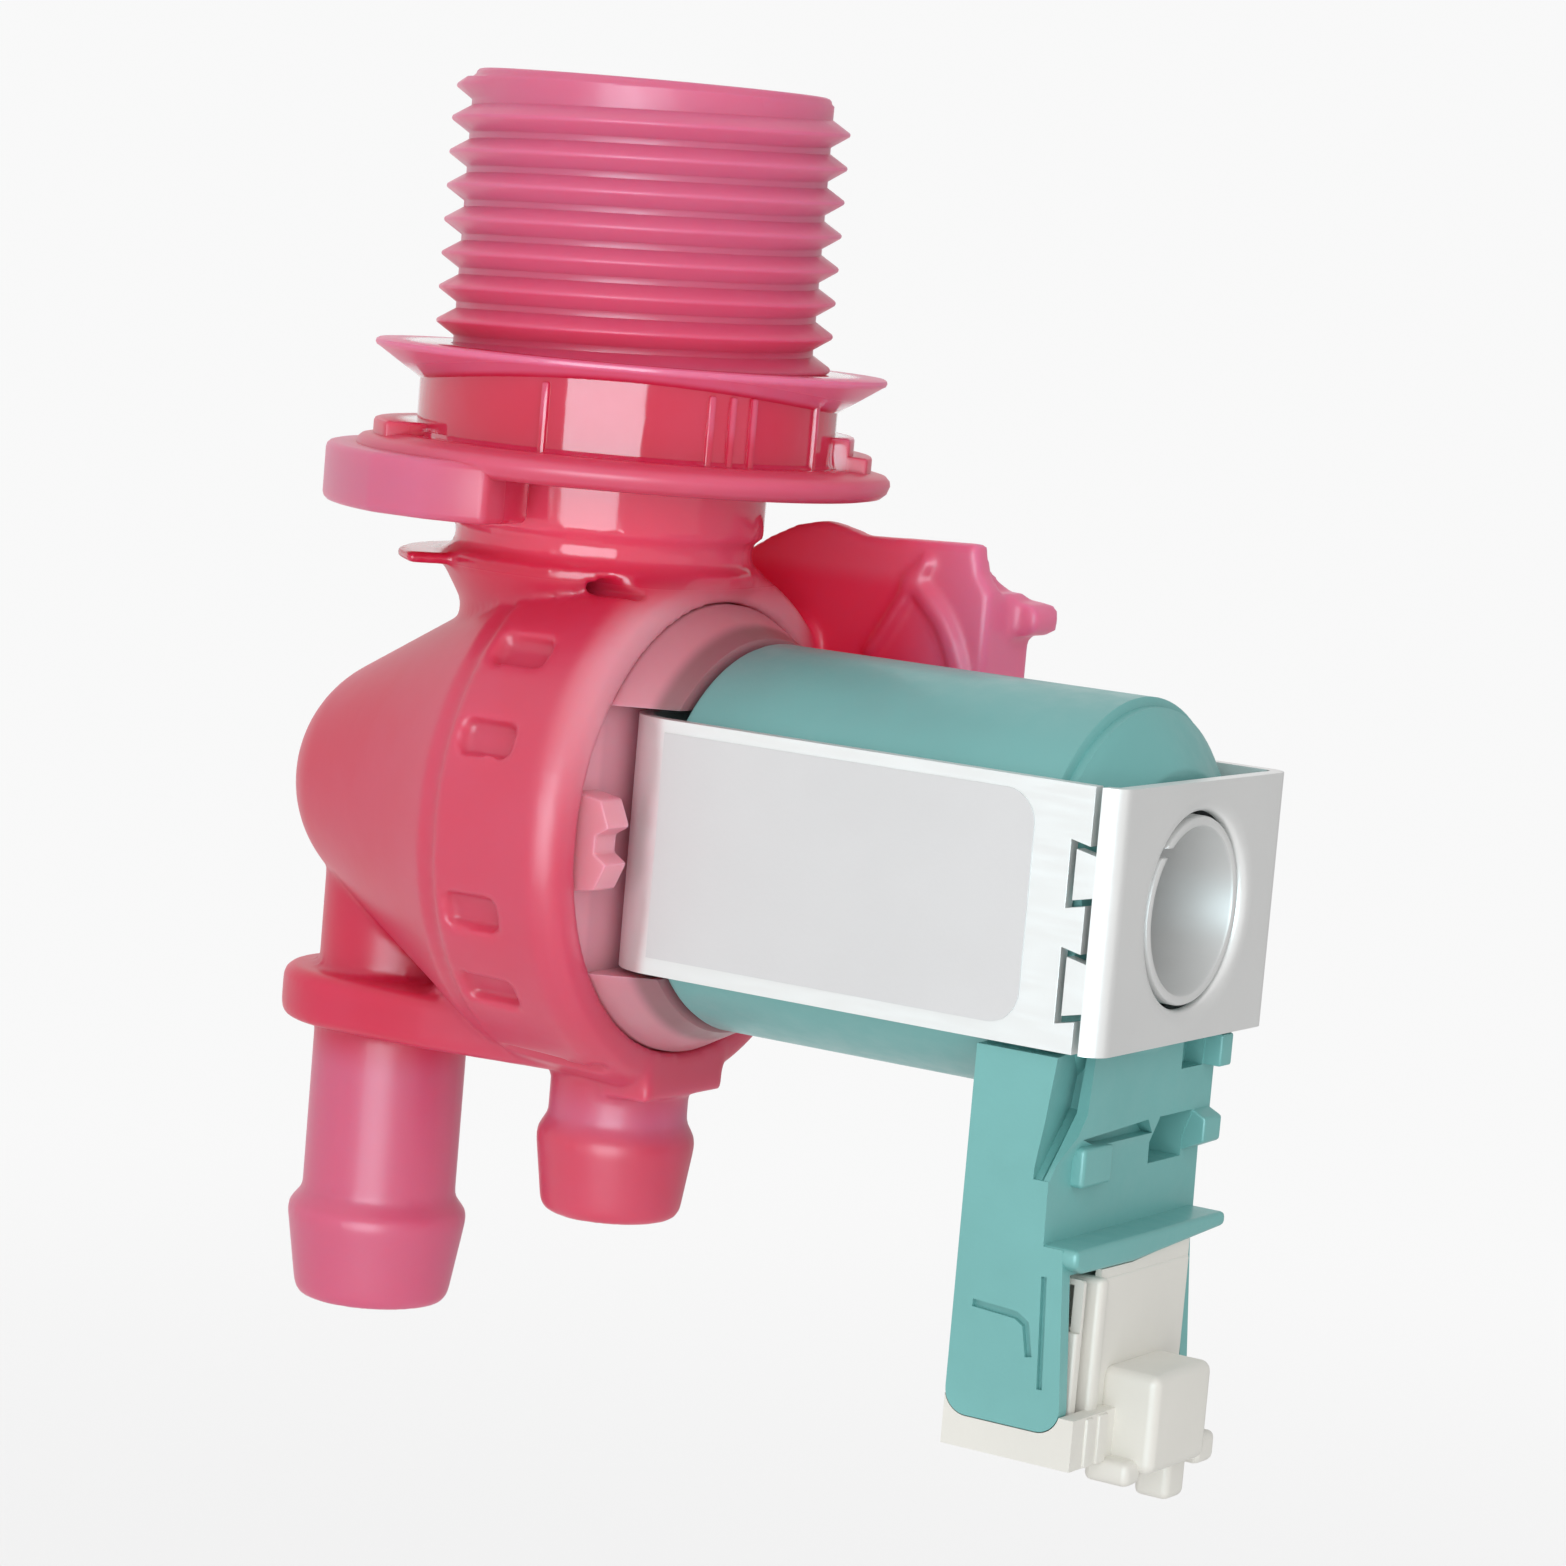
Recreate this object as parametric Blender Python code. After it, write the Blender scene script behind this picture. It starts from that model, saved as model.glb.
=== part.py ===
"""Washing machine inlet valve: one threaded inlet, one solenoid, two barbed outlets.

The origin is where the inlet axis meets the flat top of the panel flange. +Z runs up the inlet
axis and +X along the solenoid, away from the valve chamber. Every size below is in millimetres,
and each solid is scaled to metres as it is made.
"""

import math

import bmesh
import bpy
from mathutils import Matrix, Vector

MM = 0.001
WELD = 0.0002
GAP = 0.3

# Facets in a full turn, by the size of the round
COARSE = 16
MEDIUM = 22
FINE = 36

# Inlet spigot: a 3/4 inch garden hose thread, whose turns are 11.5 to the inch
THREAD_R = 13.5
THREAD_ROOT_R = 12.35
THREAD_PITCH = 25.4 / 11.5
THREAD_FLANK = 0.72
THREAD_CREST = 0.36
THREAD_FACETS = 24
THREAD_START_Z = -3.4
THREAD_TOP_Z = 17.0
SPIGOT_TOP_Z = 18.6
SPIGOT_RIM_R = 11.7
FILTER_BORE_R = 9.8
FILTER_STEP_Z = 11.5
INLET_BORE_R = 8.9
REGULATOR_BORE_R = 8.3
REGULATOR_STEP_Z = -9.5

# Panel flange, collar and locking ring under the thread
FLANGE_R = 17.5
FLANGE_NARROW_R = 15.3
FLANGE_TURN = 32
FLANGE_LIP = 0.6
FLANGE_SLOPE = 0.63
COLLAR_R = 14.3
RIB_TOP_Z = -1.6
RING_TOP_Z = -6.3
RING_BOTTOM_Z = -8.2
RING_R = 18.3
LUG_R = 20.3
LUG_TOP_Z = -7.2
LUG_BOTTOM_Z = -11.2
NECK_R = 10.9
NECK_X = -1.1
NECK_STEP_Z = -11.6
WAIST_R = 9.5
FIN_R = 14.9

# Valve chamber: a drum with a tapering back, both turned about the solenoid's axis
AXIS_Z = -31.2
DRUM_R = 17.9
DRUM_RIM_R = 18.3
DRUM_FRONT_X = 9.4
DRUM_BACK_X = -0.5
NOSE_R = 9.2
NOSE_X = -14.5
CHAMBER_R = 12.4
CHAMBER_BACK_X = -7.0
SEAT_R = 6.0
SEAT_BORE_R = 4.5
SEAT_LIP_X = -0.9
CLAMP_R = 14.2
RING_POCKET_R = 15.7
RING_POCKET_X = 7.1

# Outlets, base and their channels
MAIN_X = -15.9
MAIN_TUBE_R = 5.45
MAIN_BARB_R = 6.35
MAIN_BARB_Z = -62.1
MAIN_END_Z = -68.5
MAIN_BORE_R = 3.9
SIDE_X = 3.96
SIDE_TUBE_R = 4.8
SIDE_BARB_R = 5.47
SIDE_BARB_Z = -53.3
SIDE_END_Z = -58.8
SIDE_BORE_R = 3.1
BASE_TOP_Z = -44.8
BASE_BOTTOM_Z = -48.6
BASE_R = 7.9
CHANNEL_HALF_Y = 3.0
CHANNEL_LOW_Z = -47.6
CHANNEL_HIGH_Z = -46.1

# Side bracket behind the solenoid
BRACKET_NEAR_Y = 12.3
BRACKET_FAR_Y = 18.5
BRACKET_END_X = 22.6
BRACKET_TOP_END_X = 21.2
BRACKET_TOP_Z = -10.6
BRACKET_BOTTOM_Z = -26.0
BRACKET_WALL = 1.8

# Solenoid yoke: one steel strip bent into a closed box
YOKE_START_X = 8.9
YOKE_END_X = 47.0
YOKE_HALF_Y = 11.6
YOKE_HALF_HEIGHT = 8.45
YOKE_THICKNESS = 0.95
YOKE_START_BEND = 4.0
YOKE_END_BEND = 1.5
YOKE_HOLE_R = 6.45
SEAM_X = 45.3
SEAM_TAB_X = 43.9
SEAM_WIDTH = 0.4

# Coil, its cover and the guide tube
COIL_R = 13.2
COIL_HALF_Y = 10.35
COIL_START_X = 13.3
COIL_END_X = 45.1
COIL_NOSE_R = 8.4
COIL_NOSE_X = 10.2
COIL_GROOVE_X = 41.8
COIL_CONE_R = 8.8
BOBBIN_R = 7.5
BOBBIN_BORE_R = 6.5
BOBBIN_FLANGE_R = 9.3
SLEEVE_R = 6.15
SLEEVE_BORE_R = 5.45
GUIDE_R = 5.1
GUIDE_BORE_R = 4.25
GUIDE_END_X = 40.1
PLUNGER_R = 4.0
PLUNGER_START_X = 3.9
PLUNGER_END_X = 29.5

# Connector under the far end of the coil
SHROUD_BACK_X = 38.0
SHROUD_FACE_X = 45.5
SHROUD_NEAR_Y = -11.0
SHROUD_FAR_Y = 9.2
SHROUD_FOOT_FAR_Y = 6.2
SHROUD_WALL = 1.0
SHROUD_TOP_Z = -40.1
SHROUD_BOTTOM_Z = -63.9
FRONT_X = 44.3
LEDGE_Z = -52.5
SOCKET_TOP_Z = -53.8
INSERT_BOTTOM_Z = -66.0
TERMINAL_X = 42.2
TERMINAL_YS = (-5.0, 1.0)

COIL_CENTRE = (0.0, 0.0, AXIS_Z)


def clear_scene():
    """Removes whatever the file holds, so that the script starts from nothing."""
    for thing in list(bpy.data.objects):
        bpy.data.objects.remove(thing, do_unlink=True)


def finished(name, bm, sharp=32.0):
    """Makes an object in metres from a bmesh drawn in millimetres, smooth but for its sharp edges."""
    bmesh.ops.remove_doubles(bm, verts=bm.verts, dist=WELD)
    bmesh.ops.recalc_face_normals(bm, faces=bm.faces)
    bmesh.ops.scale(bm, vec=(MM, MM, MM), verts=bm.verts)
    mesh = bpy.data.meshes.new(name)
    bm.to_mesh(mesh)
    bm.free()
    mesh.shade_smooth()
    mesh.set_sharp_from_angle(angle=math.radians(sharp))
    piece = bpy.data.objects.new(name, mesh)
    bpy.context.scene.collection.objects.link(piece)
    return piece


def placing(about, centre):
    """The matrix that stands a solid drawn round +Z about the X or Z axis through centre."""
    turn = Matrix.Rotation(math.radians(90), 4, "Y") if about == "X" else Matrix.Identity(4)
    return Matrix.Translation(Vector(centre)) @ turn


def turned(name, profile, about="Z", centre=(0, 0, 0), facets=MEDIUM):
    """A solid of revolution from a closed profile of (radius, distance along the axis) points."""
    bm = bmesh.new()
    points = [bm.verts.new((radius, 0, along)) for radius, along in profile]
    pairs = zip(points, points[1:] + points[:1])
    lines = [bm.edges.new(pair) for pair in pairs if max(end.co.x for end in pair) > 0]
    bmesh.ops.spin(
        bm, geom=points + lines, cent=(0, 0, 0), axis=(0, 0, 1),
        angle=math.tau, steps=facets, use_merge=True,
    )
    bmesh.ops.transform(bm, matrix=placing(about, centre), verts=bm.verts)
    return finished(name, bm)


def rod(name, radius, low, high, about="Z", centre=(0, 0, 0), facets=MEDIUM):
    """A plain cylinder between two places along its axis."""
    return turned(name, [(0, low), (radius, low), (radius, high), (0, high)], about, centre, facets)


def extruded(bm, outline, along, low, high):
    """Adds a prism to bm: outline lies across the along axis, its points in X, Y, Z order."""
    spots = {
        "X": lambda a, b: (low, a, b),
        "Y": lambda a, b: (a, low, b),
        "Z": lambda a, b: (a, b, low),
    }
    face = bm.faces.new([bm.verts.new(spots[along](a, b)) for a, b in outline])
    grown = bmesh.ops.extrude_face_region(bm, geom=[face])["geom"]
    moved = [part for part in grown if isinstance(part, bmesh.types.BMVert)]
    step = Vector([high - low if axis == along else 0 for axis in "XYZ"])
    bmesh.ops.translate(bm, vec=step, verts=moved)
    return moved + list(face.verts)


def prism(name, outline, along, low, high):
    """A solid of one constant outline."""
    bm = bmesh.new()
    extruded(bm, outline, along, low, high)
    return finished(name, bm)


def rectangle(a_low, a_high, b_low, b_high):
    """The four corners of an upright rectangle."""
    return [(a_low, b_low), (a_high, b_low), (a_high, b_high), (a_low, b_high)]


def block(name, low, high):
    """A box between two corners."""
    return prism(name, rectangle(low[0], high[0], low[1], high[1]), "Z", low[2], high[2])


def blocks(name, corners):
    """Several separate boxes in one object."""
    bm = bmesh.new()
    for low, high in corners:
        extruded(bm, rectangle(low[0], high[0], low[1], high[1]), "Z", low[2], high[2])
    return finished(name, bm)


def arc(centre, radius, start, end, steps):
    """Points along an arc, its angles in degrees."""
    angles = [math.radians(start + (end - start) * i / steps) for i in range(steps + 1)]
    return [(centre[0] + radius * math.cos(a), centre[1] + radius * math.sin(a)) for a in angles]


def rounded(piece, width, segments=1, angle=40.0):
    """Breaks the sharp edges of a piece with a bevel of the given width in millimetres."""
    bevel = piece.modifiers.new("edge_break", "BEVEL")
    bevel.width = width * MM
    bevel.segments = segments
    bevel.limit_method = "ANGLE"
    bevel.angle_limit = math.radians(angle)
    return piece


def combine(piece, tool, operation):
    """Joins a tool to a piece or cuts the piece with it, and hides the tool."""
    boolean = piece.modifiers.new(tool.name, "BOOLEAN")
    boolean.operation = operation
    boolean.solver = "EXACT"
    boolean.object = tool
    tool.hide_render = True
    tool.display_type = "WIRE"


def add(piece, *tools):
    """Joins each tool to the piece."""
    for tool in tools:
        combine(piece, tool, "UNION")


def cut(piece, *tools):
    """Takes each tool away from the piece."""
    for tool in tools:
        combine(piece, tool, "DIFFERENCE")


def painted(piece, colour, roughness, metallic=0.0, alpha=1.0):
    """Gives a piece its own Principled material."""
    material = bpy.data.materials.new(piece.name)
    material.use_nodes = True
    shader = material.node_tree.nodes["Principled BSDF"]
    shader.inputs["Base Color"].default_value = (*colour, 1.0)
    shader.inputs["Roughness"].default_value = roughness
    shader.inputs["Metallic"].default_value = metallic
    shader.inputs["Alpha"].default_value = alpha
    piece.data.materials.append(material)
    return piece


PINK = (0.62, 0.09, 0.17)
TEAL = (0.16, 0.42, 0.40)
STEEL = (0.72, 0.72, 0.70)
IVORY = (0.74, 0.71, 0.62)
BLACK_PLASTIC = (0.03, 0.03, 0.035)
BLACK_RUBBER = (0.02, 0.02, 0.02)
COPPER = (0.60, 0.24, 0.09)
WHITE_PLASTIC = (0.80, 0.80, 0.78)
TIN = (0.66, 0.67, 0.66)


def threaded_spigot():
    """The inlet spigot: one pitch of thread swept up a helix, then turned down at its end."""
    root_flat = THREAD_PITCH - 2 * THREAD_FLANK - THREAD_CREST
    section = [
        (THREAD_ROOT_R, 0), (THREAD_ROOT_R, root_flat), (THREAD_R, root_flat + THREAD_FLANK),
        (THREAD_R, THREAD_PITCH - THREAD_FLANK), (THREAD_ROOT_R, THREAD_PITCH),
    ]
    turns = math.ceil((SPIGOT_TOP_Z - THREAD_START_Z) / THREAD_PITCH) + 1
    bm = bmesh.new()
    points = [bm.verts.new((radius, 0, THREAD_START_Z + along)) for radius, along in section]
    lines = [bm.edges.new(pair) for pair in zip(points, points[1:])]
    steps = turns * THREAD_FACETS
    bmesh.ops.spin(
        bm, geom=points + lines, cent=(0, 0, 0), axis=(0, 0, 1), angle=turns * math.tau,
        dvec=(0, 0, THREAD_PITCH / THREAD_FACETS), steps=steps,
    )
    bmesh.ops.remove_doubles(bm, verts=bm.verts, dist=0.01)
    middle = THREAD_START_Z + turns * THREAD_PITCH / 2
    for low_end, tip_z in ((True, THREAD_START_Z), (False, 2 * middle - THREAD_START_Z)):
        tip = bm.verts.new((0, 0, tip_z))
        for edge in [e for e in bm.edges if e.is_boundary and (e.verts[0].co.z < middle) == low_end]:
            if tip not in edge.verts:
                bm.faces.new((*edge.verts, tip))
    spigot = finished("threaded_spigot", bm)
    blank = turned("thread_blank", [
        (0, -1.0), (THREAD_R + 1, -1.0), (THREAD_R + 1, THREAD_TOP_Z - 1.0), (SPIGOT_RIM_R, SPIGOT_TOP_Z - 0.3),
        (SPIGOT_RIM_R - 0.3, SPIGOT_TOP_Z), (0, SPIGOT_TOP_Z),
    ], facets=THREAD_FACETS)
    combine(spigot, blank, "INTERSECT")
    return spigot


def inlet_column():
    """Collar and locking ring, turned about the inlet axis."""
    return turned("valve_body", [
        (0, RING_BOTTOM_Z), (RING_R - 1.1, RING_BOTTOM_Z), (RING_R - 0.3, RING_BOTTOM_Z + 0.3),
        (RING_R, RING_BOTTOM_Z + 1.0), (RING_R - 0.1, RING_TOP_Z - 0.4), (RING_R - 1.7, RING_TOP_Z),
        (COLLAR_R, RING_TOP_Z + 0.2), (COLLAR_R, -FLANGE_LIP), (0, -FLANGE_LIP),
    ], facets=FINE)


def panel_flange():
    """The oval flange, widest at its two ears, whose underside slopes down to the collar."""
    inner = 12.0
    flange = turned("panel_flange", [
        (inner, -FLANGE_LIP - (FLANGE_R - inner) * FLANGE_SLOPE), (FLANGE_R - 0.1, -FLANGE_LIP),
        (FLANGE_R, 0), (inner, 0),
    ], facets=FINE)
    turn = Matrix.Rotation(math.radians(FLANGE_TURN), 4, "Z")
    flange.data.transform(turn @ Matrix.Diagonal((1, FLANGE_NARROW_R / FLANGE_R, 1, 1)))
    return flange


def locking_lug():
    """The thick bayonet lug on the ring's left, which runs out towards the front."""
    outline = arc((0, 0), LUG_R, 160, 250, 14) + arc((0, 0), LUG_R - 0.9, 262, 262, 1)[:1]
    outline += arc((0, 0), RING_R - 0.2, 275, 275, 1)[:1] + arc((0, 0), 12.2, 275, 160, 10)
    return rounded(prism("locking_lug", outline, "Z", LUG_BOTTOM_Z, LUG_TOP_Z), 0.4)


def neck():
    """The neck between ring and chamber: a plain upper part, a shallow step, and a waist at its foot."""
    return turned("neck", [
        (0, -23.0), (WAIST_R + 0.8, -23.0), (WAIST_R, -18.6), (WAIST_R, -17.4), (WAIST_R + 0.8, -16.0),
        (NECK_R + 0.1, -14.8), (NECK_R + 0.1, -13.9), (NECK_R - 0.7, -13.5), (NECK_R - 0.7, NECK_STEP_Z - 0.2),
        (NECK_R, NECK_STEP_Z), (NECK_R, RING_BOTTOM_Z + 0.5), (0, RING_BOTTOM_Z + 0.5),
    ], centre=(NECK_X, 0, 0), facets=FINE)


def ring_segment(name, inner, outer, start, end, low, high, steps=8):
    """A stretch of a ring round the inlet axis."""
    outline = arc((0, 0), outer, start, end, steps) + arc((0, 0), inner, end, start, steps)
    return prism(name, outline, "Z", low, high)


def chamber_shell():
    """Drum, tapering back and rounded nose as one turned form about the solenoid's axis."""
    lean = math.radians(27.5)
    nose = [
        (NOSE_R * math.sin(a), NOSE_X - NOSE_R * math.cos(a))
        for a in [i / 4 * (math.pi / 2 - lean) for i in range(5)]
    ]
    back = [(DRUM_R - 0.5, DRUM_BACK_X - 1.6), (DRUM_R - 0.5, DRUM_BACK_X), (DRUM_R, DRUM_BACK_X)]
    front = [
        (DRUM_RIM_R, DRUM_FRONT_X - 1.9), (DRUM_RIM_R - 0.35, DRUM_FRONT_X - 0.9),
        (DRUM_RIM_R - 0.9, DRUM_FRONT_X - 0.25), (DRUM_RIM_R - 1.6, DRUM_FRONT_X),
    ]
    return turned("chamber_shell", nose + back + front + [(0, DRUM_FRONT_X)], "X", COIL_CENTRE, FINE)


def barbed_outlet(name, x, top, tube, barb, barb_z, end_z):
    """A hose tail: plain tube, one barb with a short ramp, and a long taper to its end."""
    return turned(name, [
        (0, top), (tube, top), (tube, barb_z + 1.2), (tube + 0.25, barb_z + 0.9), (barb, barb_z + 0.1),
        (barb, barb_z - 0.5), (tube + 0.05, end_z + 0.6), (tube - 0.35, end_z), (0, end_z),
    ], "Z", (x, 0, 0), MEDIUM)


def outlet_base():
    """The base bar that ties the outlets together, rounded round the main one."""
    far_end = DRUM_FRONT_X - 0.2
    outline = arc((MAIN_X, 0), BASE_R, 90, 270, 12)
    outline += [(MAIN_X + 8.0, -BASE_R), (far_end, -5.2), (far_end, 4.4), (MAIN_X + 8.0, BASE_R)]
    return rounded(prism("outlet_base", outline, "Z", BASE_BOTTOM_Z, BASE_TOP_Z), 0.8)


def side_bracket():
    """The channel-shaped bracket beside the solenoid, open at its back, with its hump, ribs and nib."""
    plate = [
        (1.0, -14.0), (4.3, -11.9), (6.5, -10.8), (8.7, -10.3), (10.5, -10.6), (12.0, BRACKET_TOP_Z - 0.4),
        (BRACKET_TOP_END_X, BRACKET_TOP_Z), (BRACKET_TOP_END_X + 0.4, BRACKET_TOP_Z - 2.0),
        (BRACKET_END_X, BRACKET_TOP_Z - 3.2), (BRACKET_END_X, BRACKET_BOTTOM_Z), (1.0, BRACKET_BOTTOM_Z),
    ]
    near, far = BRACKET_NEAR_Y, BRACKET_FAR_Y
    bracket = prism("side_bracket", plate, "Y", near, near + BRACKET_WALL)
    top = [
        (near, BRACKET_TOP_Z - 0.5), (far, BRACKET_TOP_Z - 3.6),
        (far, BRACKET_TOP_Z - 3.6 - BRACKET_WALL), (near, BRACKET_TOP_Z - 0.5 - BRACKET_WALL),
    ]
    add(bracket, prism("bracket_top", top, "X", 8.0, BRACKET_TOP_END_X - 0.1))
    end = [
        (near, BRACKET_TOP_Z - 3.3), (far - 1.2, BRACKET_TOP_Z - 3.3), (far, BRACKET_TOP_Z - 4.6),
        (far, BRACKET_BOTTOM_Z + 3.0), (near, BRACKET_BOTTOM_Z),
    ]
    add(bracket, prism("bracket_end", end, "X", BRACKET_END_X - BRACKET_WALL, BRACKET_END_X))
    add(bracket, block("bracket_web", (12.0, near, BRACKET_TOP_Z - 14.0),
                       (BRACKET_END_X, far - 1.5, BRACKET_TOP_Z - 12.6)))
    nib = arc((BRACKET_END_X + 1.0, -15.6), 1.15, -80, 80, 5) + [(BRACKET_END_X - 1.0, -14.3), (BRACKET_END_X - 1.0, -16.8)]
    add(bracket, prism("bracket_nib", nib, "Y", far - 3.0, far + 0.2))
    add(bracket, slanted_rib("bracket_rib_left", (17.6, -12.0), (13.4, -19.2), 0.7))
    curve = arc((11.4, -22.0), 10.2, 62, 10, 6) + arc((11.4, -22.0), 9.1, 10, 62, 6)
    add(bracket, prism("bracket_rib_right", curve, "Y", BRACKET_NEAR_Y - 0.5, BRACKET_NEAR_Y + 0.5))
    return bracket


def slanted_rib(name, start, end, width):
    """A shallow rib across the bracket's near face, between two (x, z) points."""
    across = Vector((end[1] - start[1], start[0] - end[0])).normalized() * width / 2
    outline = [
        (start[0] + across.x, start[1] + across.y), (end[0] + across.x, end[1] + across.y),
        (end[0] - across.x, end[1] - across.y), (start[0] - across.x, start[1] - across.y),
    ]
    return prism(name, outline, "Y", BRACKET_NEAR_Y - 0.5, BRACKET_NEAR_Y + 0.5)


def drum_windows():
    """Cutter for the shallow snap windows round the drum and the two long slots on top and below."""
    bm = bmesh.new()
    small = [(angle, 0.3, 4.5, 1.2) for angle in (-38, -18, 20, 41, 139, 160, 198, 218)]
    long = [(angle, -0.1, 8.3, 0.6) for angle in (-62, 62, 118, 242)]
    for angle, start, end, half_width in small + long:
        corners = rectangle(-DRUM_R - 1, 1.3 - DRUM_R, -half_width, half_width)
        spots = extruded(bm, corners, "X", start, end)
        turn = Matrix.Rotation(math.radians(-angle), 4, "X")
        bmesh.ops.transform(bm, matrix=Matrix.Translation(COIL_CENTRE) @ turn, verts=spots)
    return finished("drum_windows", bm)


def collar_ribs():
    """Thin upright ribs on the collar, in the groups that show at its front and again behind."""
    bm = bmesh.new()
    for half_turn in (0, 180):
        for angle in (8.4, 56.5, 62.8, 69.2, 95.0):
            spots = extruded(bm, rectangle(-0.28, 0.28, -COLLAR_R - 0.3, 1.0 - COLLAR_R), "Z",
                             RING_TOP_Z - 0.3, RIB_TOP_Z)
            turn = Matrix.Rotation(math.radians(angle + half_turn), 4, "Z")
            bmesh.ops.transform(bm, matrix=turn, verts=spots)
    return finished("collar_ribs", bm)


def waterway():
    """The water's way through the body, as one cutter: inlet, chamber, seat, cross channel and outlets."""
    way = turned("waterway", [
        (0, -19.5), (4.6, -19.5), (5.2, -18.5), (5.2, -9.0), (SEAT_BORE_R, -7.8), (SEAT_BORE_R, SEAT_LIP_X),
        (SEAT_R - 0.5, SEAT_LIP_X), (SEAT_R, SEAT_LIP_X - 0.6), (SEAT_R, CHAMBER_BACK_X),
        (CHAMBER_R, CHAMBER_BACK_X), (CHAMBER_R, 0), (CLAMP_R, 0), (CLAMP_R, RING_POCKET_X),
        (RING_POCKET_R, RING_POCKET_X), (RING_POCKET_R, DRUM_FRONT_X + 1), (0, DRUM_FRONT_X + 1),
    ], "X", COIL_CENTRE)
    add(way, turned("inlet_bore", [
        (0, SPIGOT_TOP_Z + 1), (FILTER_BORE_R + 0.8, SPIGOT_TOP_Z + 1), (FILTER_BORE_R + 0.8, SPIGOT_TOP_Z),
        (FILTER_BORE_R, SPIGOT_TOP_Z - 0.9), (FILTER_BORE_R, FILTER_STEP_Z), (INLET_BORE_R, FILTER_STEP_Z),
        (INLET_BORE_R, -4.0), (REGULATOR_BORE_R, -4.0), (REGULATOR_BORE_R, REGULATOR_STEP_Z),
        (5.5, REGULATOR_STEP_Z), (5.5, -12.5), (0, -12.5),
    ]))
    add(way, rod("chamber_inlet", 3.3, -20.0, -12.2, centre=(-3.4, 0, 0), facets=COARSE))
    add(way, rod("main_bore", MAIN_BORE_R, MAIN_END_Z - 1, AXIS_Z, centre=(MAIN_X, 0, 0)))
    add(way, rod("side_bore", SIDE_BORE_R, SIDE_END_Z - 1, CHANNEL_HIGH_Z - 0.3, centre=(SIDE_X, 0, 0)))
    add(way, block("cross_channel", (MAIN_X, -CHANNEL_HALF_Y, CHANNEL_LOW_Z),
                   (SIDE_X + 2.0, CHANNEL_HALF_Y, CHANNEL_HIGH_Z)))
    return way


def valve_body():
    """The one-piece moulding: inlet, chamber, outlets and bracket, with the water's way through it."""
    body = inlet_column()
    add(body, panel_flange())
    add(body, threaded_spigot())
    add(body, neck())
    add(body, chamber_shell())
    add(body, barbed_outlet("main_outlet", MAIN_X, AXIS_Z, MAIN_TUBE_R, MAIN_BARB_R, MAIN_BARB_Z, MAIN_END_Z))
    add(body, barbed_outlet("side_outlet", SIDE_X, -47.0, SIDE_TUBE_R, SIDE_BARB_R, SIDE_BARB_Z, SIDE_END_Z))
    add(body, outlet_base())
    add(body, block("front_foot", (5.6, -4.8, -49.7), (DRUM_FRONT_X + 0.1, 4.6, -46.0)))
    add(body, locking_lug())
    add(body, ring_segment("lug_step", 13.5, 17.2, 170, 235, -8.0, -5.4))
    add(body, ring_segment("ring_tooth", 13.5, 16.2, 20, 100, -5.6, -4.4))
    add(body, ring_segment("neck_fin", 8.0, FIN_R, 140, 235, -14.8, -14.1, 10))
    add(body, collar_ribs())
    add(body, side_bracket())
    cut(body, drum_windows())
    cut(body, waterway())
    return painted(body, PINK, 0.32)


def inlet_filter():
    """The strainer that drops into the inlet: a rim, a slotted basket and a pull tab."""
    basket = turned("inlet_filter", [
        (7.0, 13.6), (9.4, 13.6), (9.5, 13.3), (9.5, 11.8), (8.5, 11.8), (8.1, 11.2), (6.9, 1.4),
        (6.4, 0.8), (0, 0.8), (0, 1.8), (5.9, 1.8), (7.0, 11.0),
    ], facets=MEDIUM)
    bm = bmesh.new()
    for index in range(8):
        spots = extruded(bm, rectangle(4.5, 10.0, -1.6, 1.6), "Z", 3.0, 10.4)
        bmesh.ops.transform(bm, matrix=Matrix.Rotation(math.tau * index / 8, 4, "Z"), verts=spots)
    cut(basket, finished("filter_slots", bm))
    add(basket, turned("filter_tab", [(0, 1.2), (1.4, 1.2), (1.2, 6.0), (1.9, 7.2), (1.9, 8.2), (0, 8.2)],
                       facets=COARSE))
    return painted(basket, WHITE_PLASTIC, 0.5)


def flow_regulator():
    """The holder and the rubber washer that hold the flow steady."""
    holder = turned("regulator_holder", [
        (2.6, -9.2), (7.6, -9.2), (8.0, -8.8), (8.0, -4.6), (6.5, -4.6), (6.5, -7.6), (2.6, -7.6),
    ])
    painted(holder, WHITE_PLASTIC, 0.5)
    washer = turned("regulator_washer", [
        (2.1, -7.3), (5.8, -7.3), (6.2, -6.9), (6.2, -5.3), (5.8, -4.9), (3.0, -4.9), (2.1, -5.8),
    ])
    return holder, painted(washer, BLACK_RUBBER, 0.7)


def diaphragm():
    """The rubber diaphragm: thick rim, thin rolling web and a hub that closes on the seat."""
    return painted(turned("diaphragm", [
        (2.5, -0.6), (7.6, -0.6), (8.6, -0.1), (9.6, -0.5), (10.6, -0.9), (11.6, -0.4), (12.6, 0.3), (13.9, 0.3),
        (13.9, 2.2), (12.6, 2.2), (12.4, 1.2), (11.6, 0.5), (10.6, 0.0), (9.6, 0.4), (8.6, 0.9), (7.6, 1.1),
        (2.5, 1.1),
    ], "X", COIL_CENTRE, MEDIUM), BLACK_RUBBER, 0.7)


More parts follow.
